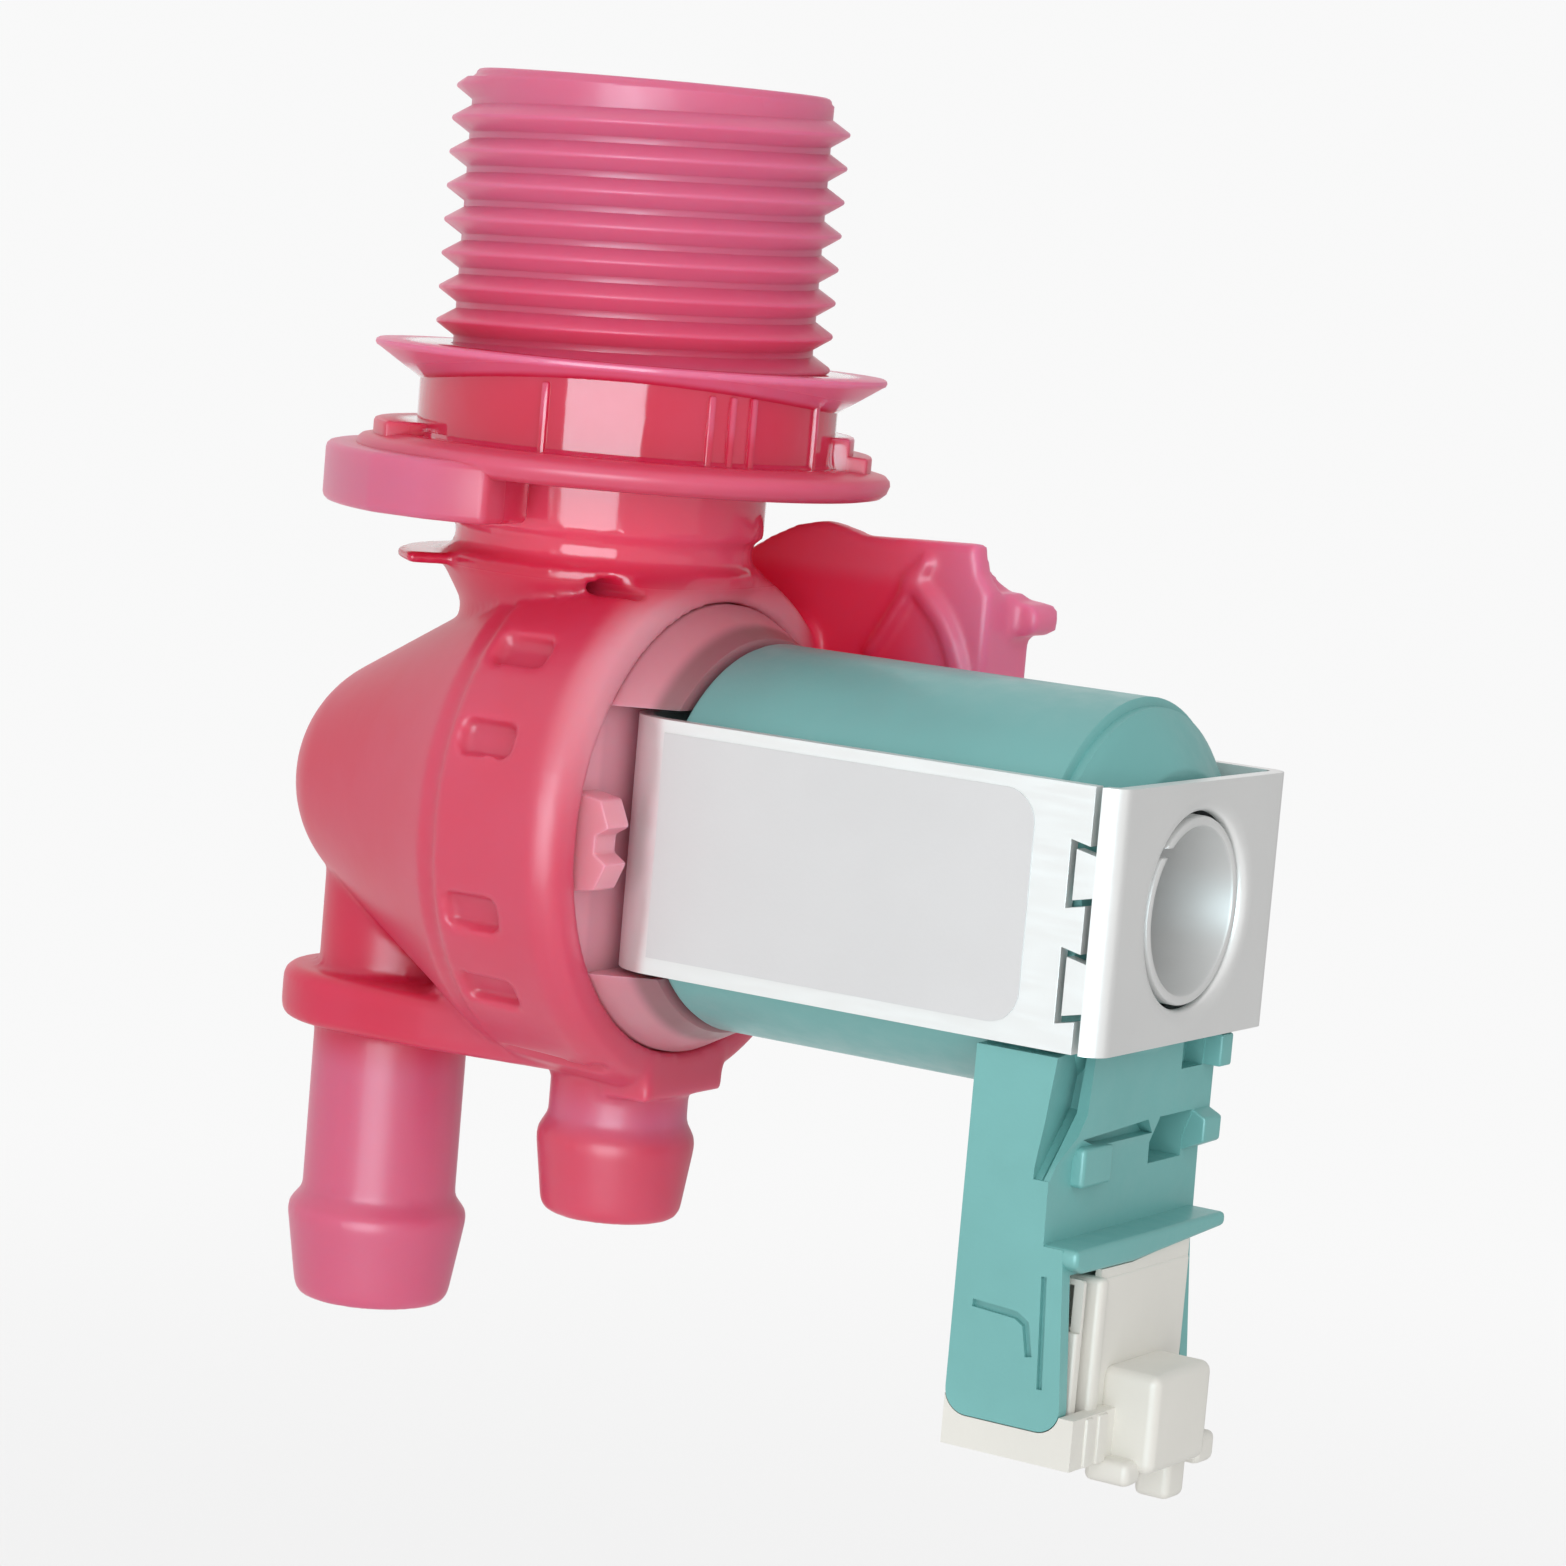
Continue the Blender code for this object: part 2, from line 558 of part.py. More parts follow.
def diaphragm_insert():
    """The plastic core of the diaphragm, with its pilot hole and the guide fins that run in the seat."""
    core = turned("diaphragm_insert", [
        (0.5, -1.5), (2.2, -1.5), (2.2, 1.4), (5.5, 1.4), (5.5, 2.2), (1.3, 2.2), (1.1, 2.7), (0.5, 2.7),
    ], "X", COIL_CENTRE, COARSE)
    bm = bmesh.new()
    for index in range(3):
        spots = extruded(bm, rectangle(-0.4, 0.4, 0.9, 4.1), "X", -5.5, -0.9)
        turn = Matrix.Rotation(math.tau * index / 3, 4, "X")
        bmesh.ops.transform(bm, matrix=Matrix.Translation(COIL_CENTRE) @ turn, verts=spots)
    add(core, finished("insert_fins", bm))
    return painted(core, WHITE_PLASTIC, 0.45)


def guide_tube():
    """The plunger's guide: a flange that clamps the diaphragm, and a closed tube for the coil to slide on."""
    return painted(turned("guide_tube", [
        (GUIDE_BORE_R, 4.6), (12.2, 4.6), (12.2, 2.5), (13.9, 2.5), (13.9, 7.1), (GUIDE_R + 0.6, 7.1),
        (GUIDE_R, 7.7), (GUIDE_R, GUIDE_END_X - 0.7), (GUIDE_R - 0.7, GUIDE_END_X), (0, GUIDE_END_X),
        (0, GUIDE_END_X - 1.1), (GUIDE_BORE_R, GUIDE_END_X - 1.1),
    ], "X", COIL_CENTRE), BLACK_PLASTIC, 0.4)


def retaining_ring():
    """The ring that snaps in over the guide's flange, with the lips that stop the coil from turning."""
    ring = turned("retaining_ring", [
        (6.9, 7.4), (15.4, 7.4), (15.4, 8.3), (15.1, 8.6), (6.9, 8.6),
    ], "X", COIL_CENTRE)
    lips = turned("locating_lips", [
        (11.7, 8.0), (15.3, 8.0), (15.3, 8.9), (13.7, 12.4), (13.3, 13.0), (11.7, 13.0),
    ], "X", COIL_CENTRE)
    cut(lips, block("lip_gap", (6.0, -20.0, AXIS_Z - 8.95), (14.0, 20.0, AXIS_Z + 8.95)))
    add(ring, lips)
    for side in (-1, 1):
        outer, inner = sorted((side * 15.0, side * 12.5))
        hook = [(8.1, AXIS_Z - 3.4), (10.6, AXIS_Z - 3.0), (11.4, AXIS_Z - 1.2), (10.4, AXIS_Z - 0.6),
                (10.4, AXIS_Z + 0.6), (11.4, AXIS_Z + 1.2), (10.6, AXIS_Z + 3.0), (8.1, AXIS_Z + 3.4)]
        add(ring, prism("snap_hook", hook, "Y", outer, inner))
    return painted(ring, PINK, 0.28)


def plunger():
    """The steel armature with its rubber tip and return spring."""
    armature = turned("plunger", [
        (1.9, PLUNGER_START_X), (2.6, PLUNGER_START_X), (PLUNGER_R, 5.2), (PLUNGER_R, PLUNGER_END_X - 0.5),
        (PLUNGER_R - 0.4, PLUNGER_END_X), (3.0, PLUNGER_END_X), (3.0, 24.0), (0, 24.0), (0, 6.4), (1.9, 6.4),
    ], "X", COIL_CENTRE)
    painted(armature, STEEL, 0.3, 1.0)
    tip = turned("plunger_tip", [(0, 3.0), (1.2, 3.0), (1.6, 3.4), (1.6, 6.1), (0, 6.1)], "X", COIL_CENTRE, COARSE)
    return armature, painted(tip, BLACK_RUBBER, 0.7)


def plunger_spring(turns=8, steps=10, sides=5, radius=2.3, wire=0.3):
    """The return spring, a coil of round wire between the plunger's pocket and the guide's end."""
    start, end = 24.3 + wire, GUIDE_END_X - 1.4 - wire
    angles = [math.tau * side / sides for side in range(sides)]
    bm = bmesh.new()
    points = [bm.verts.new((radius + wire * math.cos(a), 0, start + wire * math.sin(a))) for a in angles]
    lines = [bm.edges.new(pair) for pair in zip(points, points[1:] + points[:1])]
    last = bmesh.ops.spin(
        bm, geom=points + lines, cent=(0, 0, 0), axis=(0, 0, 1), angle=turns * math.tau,
        dvec=(0, 0, (end - start) / (turns * steps)), steps=turns * steps,
    )["geom_last"]
    bm.faces.new(points)
    bm.faces.new([part for part in last if isinstance(part, bmesh.types.BMVert)])
    bmesh.ops.transform(bm, matrix=placing("X", COIL_CENTRE), verts=bm.verts)
    return painted(finished("plunger_spring", bm, 80.0), STEEL, 0.3, 1.0)


def pole_sleeves():
    """The two slit steel sleeves that lead the field from the yoke to the plunger."""
    front = turned("pole_sleeve_front", [
        (SLEEVE_BORE_R, 9.0), (SLEEVE_R, 9.0), (SLEEVE_R, 20.0), (SLEEVE_BORE_R, 20.0),
    ], "X", COIL_CENTRE)
    rear = turned("pole_sleeve_rear", [
        (SLEEVE_BORE_R, 34.0), (SLEEVE_R, 34.0), (SLEEVE_R, 46.5), (SLEEVE_R - 0.2, 46.7), (SLEEVE_BORE_R, 46.7),
    ], "X", COIL_CENTRE)
    for sleeve, start, end in ((front, 8.0, 21.0), (rear, 33.0, 49.0)):
        cut(sleeve, block(sleeve.name + "_slit", (start, -8.0, AXIS_Z + 3.7), (end, -2.0, AXIS_Z + 4.3)))
        painted(sleeve, STEEL, 0.35, 1.0)
    return front, rear


def coil():
    """The bobbin and its copper winding."""
    bobbin = turned("coil_bobbin", [
        (BOBBIN_BORE_R, COIL_NOSE_X), (BOBBIN_R, COIL_NOSE_X), (BOBBIN_R, 14.6), (BOBBIN_FLANGE_R, 14.6),
        (BOBBIN_FLANGE_R, 15.6), (BOBBIN_R, 15.6), (BOBBIN_R, 42.0), (BOBBIN_FLANGE_R, 42.0),
        (BOBBIN_FLANGE_R, 43.0), (BOBBIN_R, 43.0), (BOBBIN_R, COIL_END_X), (BOBBIN_BORE_R, COIL_END_X),
    ], "X", COIL_CENTRE)
    painted(bobbin, BLACK_PLASTIC, 0.4)
    winding = turned("coil_winding", [
        (BOBBIN_R + GAP, 15.9), (9.2, 15.9), (9.2, 41.7), (BOBBIN_R + GAP, 41.7),
    ], "X", COIL_CENTRE)
    return bobbin, painted(winding, COPPER, 0.35, 0.6)


def lofted(name, loops):
    """A solid through several loops of equal length, capped at its first and last."""
    bm = bmesh.new()
    rings = [[bm.verts.new(point) for point in loop] for loop in loops]
    for low, high in zip(rings, rings[1:]):
        for index, vert in enumerate(low):
            bm.faces.new((low[index - 1], vert, high[index], high[index - 1]))
    bm.faces.new(rings[0])
    bm.faces.new(rings[-1])
    return finished(name, bm)


def connector_shroud():
    """The outer form of the connector: slanting corner recess, latch hole, side tabs and ledge."""
    near, far = SHROUD_NEAR_Y, SHROUD_FAR_Y
    crease = LEDGE_Z + 7.2
    upper = [
        (SHROUD_BACK_X, SHROUD_TOP_Z), (FRONT_X + 0.3, SHROUD_TOP_Z), (FRONT_X + 0.3, crease),
        (FRONT_X - 0.3, crease - 1.7), (FRONT_X - 0.2, LEDGE_Z), (SHROUD_BACK_X, LEDGE_Z),
    ]
    shroud = prism("connector_shroud", upper, "Y", near, far)
    low_z, corner = SHROUD_BOTTOM_Z, 1.6
    lower = arc((SHROUD_BACK_X + corner, low_z + corner), corner, 180, 270, 4)
    lower += arc((SHROUD_FACE_X + 0.8 - corner, low_z + corner), corner, 270, 360, 4)
    lower += [(SHROUD_FACE_X, LEDGE_Z + 0.4), (SHROUD_BACK_X, LEDGE_Z + 0.4)]
    add(shroud, prism("connector_foot", lower, "Y", near, SHROUD_FOOT_FAR_Y))
    ledge = rectangle(FRONT_X - 1.2, FRONT_X + 2.3, near + 0.01, far - 0.01)
    add(shroud, rounded(prism("shroud_ledge", ledge, "Z", LEDGE_Z - 0.6, LEDGE_Z + 0.6), 0.35))
    tab = [(FRONT_X - 0.8, -44.7), (FRONT_X + 1.3, -45.7), (FRONT_X + 1.3, -47.3), (FRONT_X - 0.8, -48.3)]
    add(shroud, prism("latch_post", tab, "Y", far - 2.4, far))
    add(shroud, block("shroud_tab", (FRONT_X - 0.8, far - 1.6, -42.3), (FRONT_X + 1.6, far, SHROUD_TOP_Z)))
    add(shroud, rounded(block("latch_stop", (FRONT_X - 0.8, -8.6, -48.5), (FRONT_X + 0.5, -4.9, -46.2)), 0.25))
    recess = []
    levels = ((-39.0, 44.2, 44.0, 3.8, 5.2), (-44.0, 43.8, 43.8, 3.5, 4.8), (-48.1, 43.2, 43.5, 0.2, 0.4))
    for z, left, right, edge, depth in levels:
        recess.append([
            (left, near - 1, z), (46.0, near - 1, z), (46.0, near + edge, z), (right, near + edge, z),
            (right - 0.2, near + depth, z), (left - 1.2, near + depth, z),
        ])
    cut(shroud, lofted("corner_recess", recess))
    cut(shroud, block("latch_hole", (FRONT_X - 1.4, far - 7.0, -48.2), (FRONT_X + 2, far - 2.5, -45.2)))
    cut(shroud, block("tab_recess", (FRONT_X - 1.0, far - 4.6, -42.3), (FRONT_X + 2, far - 1.7, SHROUD_TOP_Z + 1)))
    socket_low = (SHROUD_BACK_X + SHROUD_WALL, near + SHROUD_WALL, SHROUD_BOTTOM_Z - 1)
    socket_high = (SHROUD_FACE_X + 1, SHROUD_FOOT_FAR_Y - SHROUD_WALL, SOCKET_TOP_Z)
    cut(shroud, block("socket", socket_low, socket_high))
    cut(shroud, blocks("terminal_pockets", [
        ((TERMINAL_X - 0.6, y - 1.7, SOCKET_TOP_Z - 1), (TERMINAL_X + 0.6, y + 1.7, -48.4)) for y in TERMINAL_YS
    ]))
    return shroud


def coil_cover():
    """The moulded cover of the coil with the connector under it, flat where the yoke grips it."""
    cover = turned("coil_cover", [
        (0, COIL_NOSE_X), (COIL_NOSE_R, COIL_NOSE_X), (COIL_NOSE_R, COIL_START_X), (COIL_R - 0.5, COIL_START_X),
        (COIL_R, COIL_START_X + 0.5), (COIL_R, COIL_GROOVE_X), (COIL_R - 0.6, COIL_GROOVE_X + 0.2),
        (COIL_R - 0.6, COIL_GROOVE_X + 0.8), (COIL_R - 1.3, 43.2), (COIL_CONE_R, COIL_END_X), (0, COIL_END_X),
    ], "X", COIL_CENTRE, FINE)
    sides = [
        ((0.0, -20.0, -50.0), (50.0, -COIL_HALF_Y, -15.0)),
        ((0.0, COIL_HALF_Y, -50.0), (50.0, 20.0, -15.0)),
    ]
    cut(cover, blocks("cover_flats", sides))
    add(cover, connector_shroud())
    cut(cover, turned("coil_pocket", [
        (0, 9.0), (BOBBIN_R + GAP, 9.0), (BOBBIN_R + GAP, 14.3), (BOBBIN_FLANGE_R + GAP, 14.3),
        (BOBBIN_FLANGE_R + GAP, 43.3), (BOBBIN_R + GAP, 43.3), (BOBBIN_R + GAP, 46.0), (0, 46.0),
    ], "X", COIL_CENTRE))
    return painted(cover, TEAL, 0.38)


def terminals():
    """The two blade terminals that run down from the coil into the connector."""
    blades = []
    for name, y in zip(("terminal_near", "terminal_far"), TERMINAL_YS):
        blade = block(name, (TERMINAL_X - 0.3, y - 1.4, -61.5), (TERMINAL_X + 0.3, y + 1.4, -48.7))
        blades.append(painted(blade, TIN, 0.3, 1.0))
    return blades


def connector_insert():
    """The ivory insert that closes the connector: body, foot flange, columns, front plate and latch."""
    low_y, high_y = SHROUD_NEAR_Y + SHROUD_WALL + GAP, SHROUD_FOOT_FAR_Y - SHROUD_WALL - GAP
    back = SHROUD_BACK_X + SHROUD_WALL + GAP
    top = SOCKET_TOP_Z - GAP
    insert = block("connector_insert", (back, low_y, -64.6), (44.4, high_y, top))
    flange = rectangle(SHROUD_BACK_X, 47.4, SHROUD_NEAR_Y, SHROUD_FOOT_FAR_Y)
    add(insert, prism("insert_flange", flange, "Z", INSERT_BOTTOM_Z, SHROUD_BOTTOM_Z - GAP))
    add(insert, rounded(block("near_column", (43.8, low_y + 0.3, -65.0), (46.2, low_y + 1.2, top - 0.1)), 0.2))
    add(insert, rounded(block("middle_column", (43.8, low_y + 1.9, -65.1), (46.8, low_y + 3.1, top - 0.1)), 0.35))
    plate = [(43.6, low_y + 2.6), (46.4, low_y + 2.6), (46.4, high_y), (43.6, high_y)]
    add(insert, prism("front_plate", plate, "Z", -65.4, top - 0.2))
    add(insert, block("plate_lip", (45.85, low_y + 2.7, top - 1.2), (46.3, high_y - 0.1, LEDGE_Z - 0.6 - GAP)))
    latch = rectangle(46.0, 50.3, -5.5, 2.1)
    add(insert, rounded(prism("insert_latch", latch, "Z", -66.7, -60.2), 0.6, 2))
    feet = [((46.2, -6.9, -67.4), (49.4, -4.9, -65.8)), ((46.9, -0.9, -69.2), (49.6, 1.6, -66.2)),
            ((46.1, 1.8, -67.3), (49.9, 4.2, -65.25))]
    for index, (low, high) in enumerate(feet):
        add(insert, block(f"insert_foot_{index}", low, high))
    cut(insert, block("column_notch", (41.0, low_y - 1.0, -57.6), (47.0, low_y + 0.7, top + 1)))
    cut(insert, blocks("terminal_slots", [
        ((TERMINAL_X - 0.6, y - 1.7, INSERT_BOTTOM_Z - 1), (TERMINAL_X + 0.6, y + 1.7, -53.0)) for y in TERMINAL_YS
    ]))
    return painted(insert, IVORY, 0.45)


def seam_outline():
    """The zigzag of the yoke's joint, with its two dovetail tabs, as a thin closed strip."""
    top, bottom = AXIS_Z + YOKE_HALF_HEIGHT + 1, AXIS_Z - YOKE_HALF_HEIGHT - 1
    line = [(SEAM_X, top)]
    for tab_top, tab_bottom in ((-26.8, -30.0), (-33.6, -37.3)):
        line += [(SEAM_X, tab_top), (SEAM_TAB_X, tab_top + 0.3), (SEAM_TAB_X, tab_bottom - 0.3), (SEAM_X, tab_bottom)]
    line.append((SEAM_X, bottom))
    points = [Vector(point) for point in line]
    sides = ([], [])
    for index, point in enumerate(points):
        before = (point - points[index - 1]).normalized() if index else (points[1] - point).normalized()
        after = (points[index + 1] - point).normalized() if index + 1 < len(points) else before
        across = Vector((-(before + after).y, (before + after).x)).normalized()
        reach = SEAM_WIDTH / 2 / max(0.3, across.dot(Vector((-before.y, before.x))))
        sides[0].append(tuple(point + across * reach))
        sides[1].append(tuple(point - across * reach))
    return sides[0] + sides[1][::-1]


def yoke():
    """The steel strip bent round the coil, holed for the pole sleeves and closed at a dovetailed seam."""
    bends = [
        ((YOKE_START_X, -YOKE_HALF_Y), YOKE_START_BEND, 180, 1, 1),
        ((YOKE_END_X, -YOKE_HALF_Y), YOKE_END_BEND, 270, -1, 1),
        ((YOKE_END_X, YOKE_HALF_Y), YOKE_END_BEND, 0, -1, -1),
        ((YOKE_START_X, YOKE_HALF_Y), YOKE_START_BEND, 90, 1, -1),
    ]
    outline = []
    for corner, radius, start, toward_x, toward_y in bends:
        centre = (corner[0] + toward_x * radius, corner[1] + toward_y * radius)
        outline += arc(centre, radius, start, start + 90, 6)
    bm = bmesh.new()
    ends = [bm.verts.new((x, y, AXIS_Z - YOKE_HALF_HEIGHT)) for x, y in outline]
    edges = [bm.edges.new(pair) for pair in zip(ends, ends[1:] + ends[:1])]
    grown = bmesh.ops.extrude_edge_only(bm, edges=edges)["geom"]
    raised = [part for part in grown if isinstance(part, bmesh.types.BMVert)]
    bmesh.ops.translate(bm, vec=(0, 0, 2 * YOKE_HALF_HEIGHT), verts=raised)
    strip = finished("yoke", bm)
    wall = strip.modifiers.new("strip_thickness", "SOLIDIFY")
    wall.thickness = YOKE_THICKNESS * MM
    wall.offset = -1
    wall.use_even_offset = True
    cut(strip, turned("yoke_holes", [
        (0, YOKE_START_X - 1), (YOKE_HOLE_R, YOKE_START_X - 1), (YOKE_HOLE_R, YOKE_END_X - 0.75),
        (YOKE_HOLE_R + 0.35, YOKE_END_X - 0.25), (YOKE_HOLE_R + 1.1, YOKE_END_X + 0.01),
        (YOKE_HOLE_R + 1.1, YOKE_END_X + 1), (0, YOKE_END_X + 1),
    ], "X", COIL_CENTRE, FINE))
    cut(strip, prism("yoke_seam", seam_outline(), "Y", -YOKE_HALF_Y - 1, -YOKE_HALF_Y + 2))
    return painted(strip, STEEL, 0.42, 1.0)


def guide(name, x):
    """An empty on the solenoid's axis, which a sliding group hangs from."""
    empty = bpy.data.objects.new(name, None)
    empty.empty_display_size = 0.004
    empty.location = Vector((x, 0, AXIS_Z)) * MM
    bpy.context.scene.collection.objects.link(empty)
    return empty


def hang(empty, *pieces):
    """Moves each piece's origin to the empty, leaves its shape where it is, and parents it."""
    shift = Matrix.Translation(-empty.location)
    for piece in pieces:
        piece.data.transform(shift)
        for tool in [m.object for m in piece.modifiers if m.type == "BOOLEAN"]:
            tool.name = piece.name + "_" + tool.name
        piece.parent = empty


def main():
    """Builds every piece and hangs the moving ones on their slides."""
    clear_scene()
    valve_body()
    inlet_filter()
    flow_regulator()
    diaphragm()
    lifted = diaphragm_insert()
    guide_tube()
    retaining_ring()
    sliding = plunger()
    plunger_spring()
    pole_sleeves()
    coil()
    coil_cover()
    terminals()
    connector_insert()
    yoke()
    hang(guide("diaphragm_lift", 0.0), lifted)
    hang(guide("plunger_slide", PLUNGER_START_X), *sliding)


main()
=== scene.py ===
"""The dressed washing machine inlet valve, with its stage, laid out as an add-on.

Sizes are written in millimetres and turned to metres as each piece is finished. The frame's
origin is where the inlet axis meets the flat top of the panel flange, +Z runs up the inlet
axis and +X along the solenoid.
"""

import math

import bmesh
import bpy
from bpy.props import FloatProperty, FloatVectorProperty, PointerProperty
from bpy.types import Operator, Panel, PropertyGroup
from mathutils import Matrix, Vector


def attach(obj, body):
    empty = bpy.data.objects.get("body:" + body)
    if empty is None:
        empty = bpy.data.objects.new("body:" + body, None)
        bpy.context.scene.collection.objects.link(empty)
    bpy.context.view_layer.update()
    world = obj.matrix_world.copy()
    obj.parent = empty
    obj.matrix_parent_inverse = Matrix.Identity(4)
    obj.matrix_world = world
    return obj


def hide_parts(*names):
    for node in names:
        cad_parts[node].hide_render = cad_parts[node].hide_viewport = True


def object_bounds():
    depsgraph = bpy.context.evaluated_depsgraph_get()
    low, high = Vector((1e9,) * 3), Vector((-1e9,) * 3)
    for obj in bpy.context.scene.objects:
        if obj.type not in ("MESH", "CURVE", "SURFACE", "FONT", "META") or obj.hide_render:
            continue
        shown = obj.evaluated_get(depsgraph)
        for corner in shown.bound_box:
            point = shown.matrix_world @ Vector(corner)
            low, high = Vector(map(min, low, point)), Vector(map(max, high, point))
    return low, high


bl_info = {
    "name": "Inlet Valve",
    "version": (1, 0, 0),
    "blender": (4, 5, 0),
    "location": "3D View > Sidebar > Valve",
    "description": "Builds a washing machine inlet valve with its finishes and its stage",
    "category": "Object",
}

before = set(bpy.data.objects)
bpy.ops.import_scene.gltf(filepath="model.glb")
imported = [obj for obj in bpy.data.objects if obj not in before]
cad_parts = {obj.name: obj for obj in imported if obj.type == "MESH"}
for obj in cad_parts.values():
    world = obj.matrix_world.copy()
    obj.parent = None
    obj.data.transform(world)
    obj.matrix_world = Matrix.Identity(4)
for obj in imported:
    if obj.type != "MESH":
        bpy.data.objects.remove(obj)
CAD_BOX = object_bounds()

# A millimetre in metres
MM = 0.001

# How near points have to be to become one, in millimetres: as a piece is drawn, and after its cuts
WELD = 0.0002
SLIVER = 0.004

# Facets in a full turn
FINE = 96
SMALL = 64

# Inlet spigot and its thread
THREAD_ROOT_R = 12.25
THREAD_FLANK = 0.82
THREAD_CREST = 0.18
THREAD_START_Z = -2.22
THREAD_LEFT = 212
THREAD_END_Z = 17.5
THREAD_RUN_OUT = 0.1
RIM_R = 12.1
SPIGOT_TOP_Z = 18.6
FILTER_BORE_R = 9.8
FILTER_STEP_Z = 11.5
INLET_BORE_R = 8.9
REGULATOR_BORE_R = 8.3

# Panel flange, collar, locking ring, lug and neck
FLANGE_R = 17.5
FLANGE_NARROW_R = 15.3
FLANGE_TURN = 32
FLANGE_LIP = 0.6
FLANGE_SLOPE = 0.63
COLLAR_R = 14.3
RIB_TOP_Z = -1.6
RING_TOP_Z = -6.3
RING_BOTTOM_Z = -8.2
RING_R = 18.3
LUG_R = 20.3
LUG_TOP_Z = -7.2
LUG_BOTTOM_Z = -11.2
NECK_R = 10.9
NECK_X = -1.1
NECK_STEP_Z = -11.6
WAIST_R = 9.5
FIN_R = 14.9

# Valve chamber
AXIS_Z = -31.2
COIL_CENTRE = (0.0, 0.0, AXIS_Z)
DRUM_R = 17.9
DRUM_RIM_R = 18.3
DRUM_FRONT_X = 9.4
DRUM_BACK_X = -0.5
NOSE_R = 9.2
NOSE_X = -14.5
NOSE_LEAN = 27.5
CHAMBER_R = 12.4
CHAMBER_BACK_X = -7.0
SEAT_R = 6.0
SEAT_BORE_R = 4.5
SEAT_LIP_X = -0.9
CLAMP_R = 14.2
RING_POCKET_R = 15.45
RING_POCKET_X = 7.1

# Outlets and the base that ties them together
MAIN_X = -15.9
MAIN_TUBE_R = 5.45
MAIN_BARB_R = 6.35
MAIN_BARB_Z = -62.1
MAIN_END_Z = -68.5
MAIN_BORE_R = 3.9
SIDE_X = 3.96
SIDE_TUBE_R = 4.8
SIDE_BARB_R = 5.47
SIDE_BARB_Z = -53.3
SIDE_END_Z = -58.8
SIDE_BORE_R = 3.1
BASE_TOP_Z = -44.8
BASE_BOTTOM_Z = -48.6
BASE_R = 7.9
CHANNEL_HALF_Y = 3.0
CHANNEL_LOW_Z = -47.6
CHANNEL_HIGH_Z = -46.1

# Side bracket
BRACKET_NEAR_Y = 12.3
BRACKET_FAR_Y = 18.5
BRACKET_END_X = 22.6
BRACKET_TOP_END_X = 21.2
BRACKET_TOP_Z = -10.6
BRACKET_BOTTOM_Z = -26.0
BRACKET_WALL = 1.8

# Yoke
YOKE_START_X = 8.9
YOKE_END_X = 47.0
YOKE_HALF_Y = 11.6
YOKE_HALF_HEIGHT = 8.45
YOKE_THICKNESS = 0.95
YOKE_START_BEND = 4.0
YOKE_END_BEND = 1.5
YOKE_HOLE_R = 6.45
SEAM_X = 45.3
SEAM_TAB_X = 43.9
SEAM_WIDTH = 0.45

# Coil cover
COIL_R = 13.2
COIL_HALF_Y = 10.35
COIL_START_X = 13.3
COIL_END_X = 45.1
COIL_NOSE_R = 8.4
COIL_NOSE_X = 10.2
COIL_GROOVE_X = 41.8
COIL_CONE_R = 8.8
BOBBIN_R = 7.5
BOBBIN_FLANGE_R = 9.3
SLEEVE_R = 6.15
SLEEVE_BORE_R = 5.45
GAP = 0.3

# Connector
SHROUD_BACK_X = 38.0
SHROUD_FACE_X = 45.5
SHROUD_NEAR_Y = -11.0
SHROUD_FAR_Y = 9.2
SHROUD_FOOT_FAR_Y = 6.2
SHROUD_WALL = 1.0
SHROUD_TOP_Z = -40.1
SHROUD_BOTTOM_Z = -63.9
FRONT_X = 44.3
LEDGE_Z = -52.5
SOCKET_TOP_Z = -53.8
INSERT_BOTTOM_Z = -66.0
INSERT_FRONT_X = 47.4
TERMINAL_X = 42.2
TERMINAL_YS = (-5.0, 1.0)

# The camera that saw the photograph: its angles in degrees, its place in metres, its lens in millimetres
CAMERA_AZIMUTH = -58.01
CAMERA_ELEVATION = 6.74
CAMERA_ROLL = 4.99
CAMERA_DISTANCE = 0.330
CAMERA_RIGHT = 0.01276
CAMERA_UP = -0.02801
CAMERA_LENS = 111.2

# Soft boxes that metal doesn't mirror: azimuth, elevation, distance, size and brightness
PLAIN_BOXES = (
    ("front_box", -48.0, 22.0, 0.75, (0.9, 0.9), 1.12),
    ("low_box", -50.0, -28.0, 0.70, (0.8, 0.6), 1.0),
    ("left_box", -138.0, 4.0, 0.70, (0.75, 0.7), 0.58),
    ("back_box", 120.0, 25.0, 0.80, (0.7, 0.7), 0.6),
)

# The grey card that darkens what the coil end's metal reflects, in metres
CARD_AZIMUTH = 62
CARD_DISTANCE = 0.60
CARD_SIZE = 1.30
CARD_LEVEL = 0.50


def length(name, description, default):
    """A property for a size in metres."""
    return FloatProperty(name=name, description=description, default=default, unit="LENGTH")


def tint(name, description, default):
    """A property for a colour."""
    return FloatVectorProperty(
        name=name, description=description, default=default, subtype="COLOR", size=3, min=0.0, max=1.0)


def level(name, description, default, highest=1.0):
    """A property for a brightness."""
    return FloatProperty(
        name=name, description=description, default=default, min=0.0, max=highest, subtype="FACTOR")


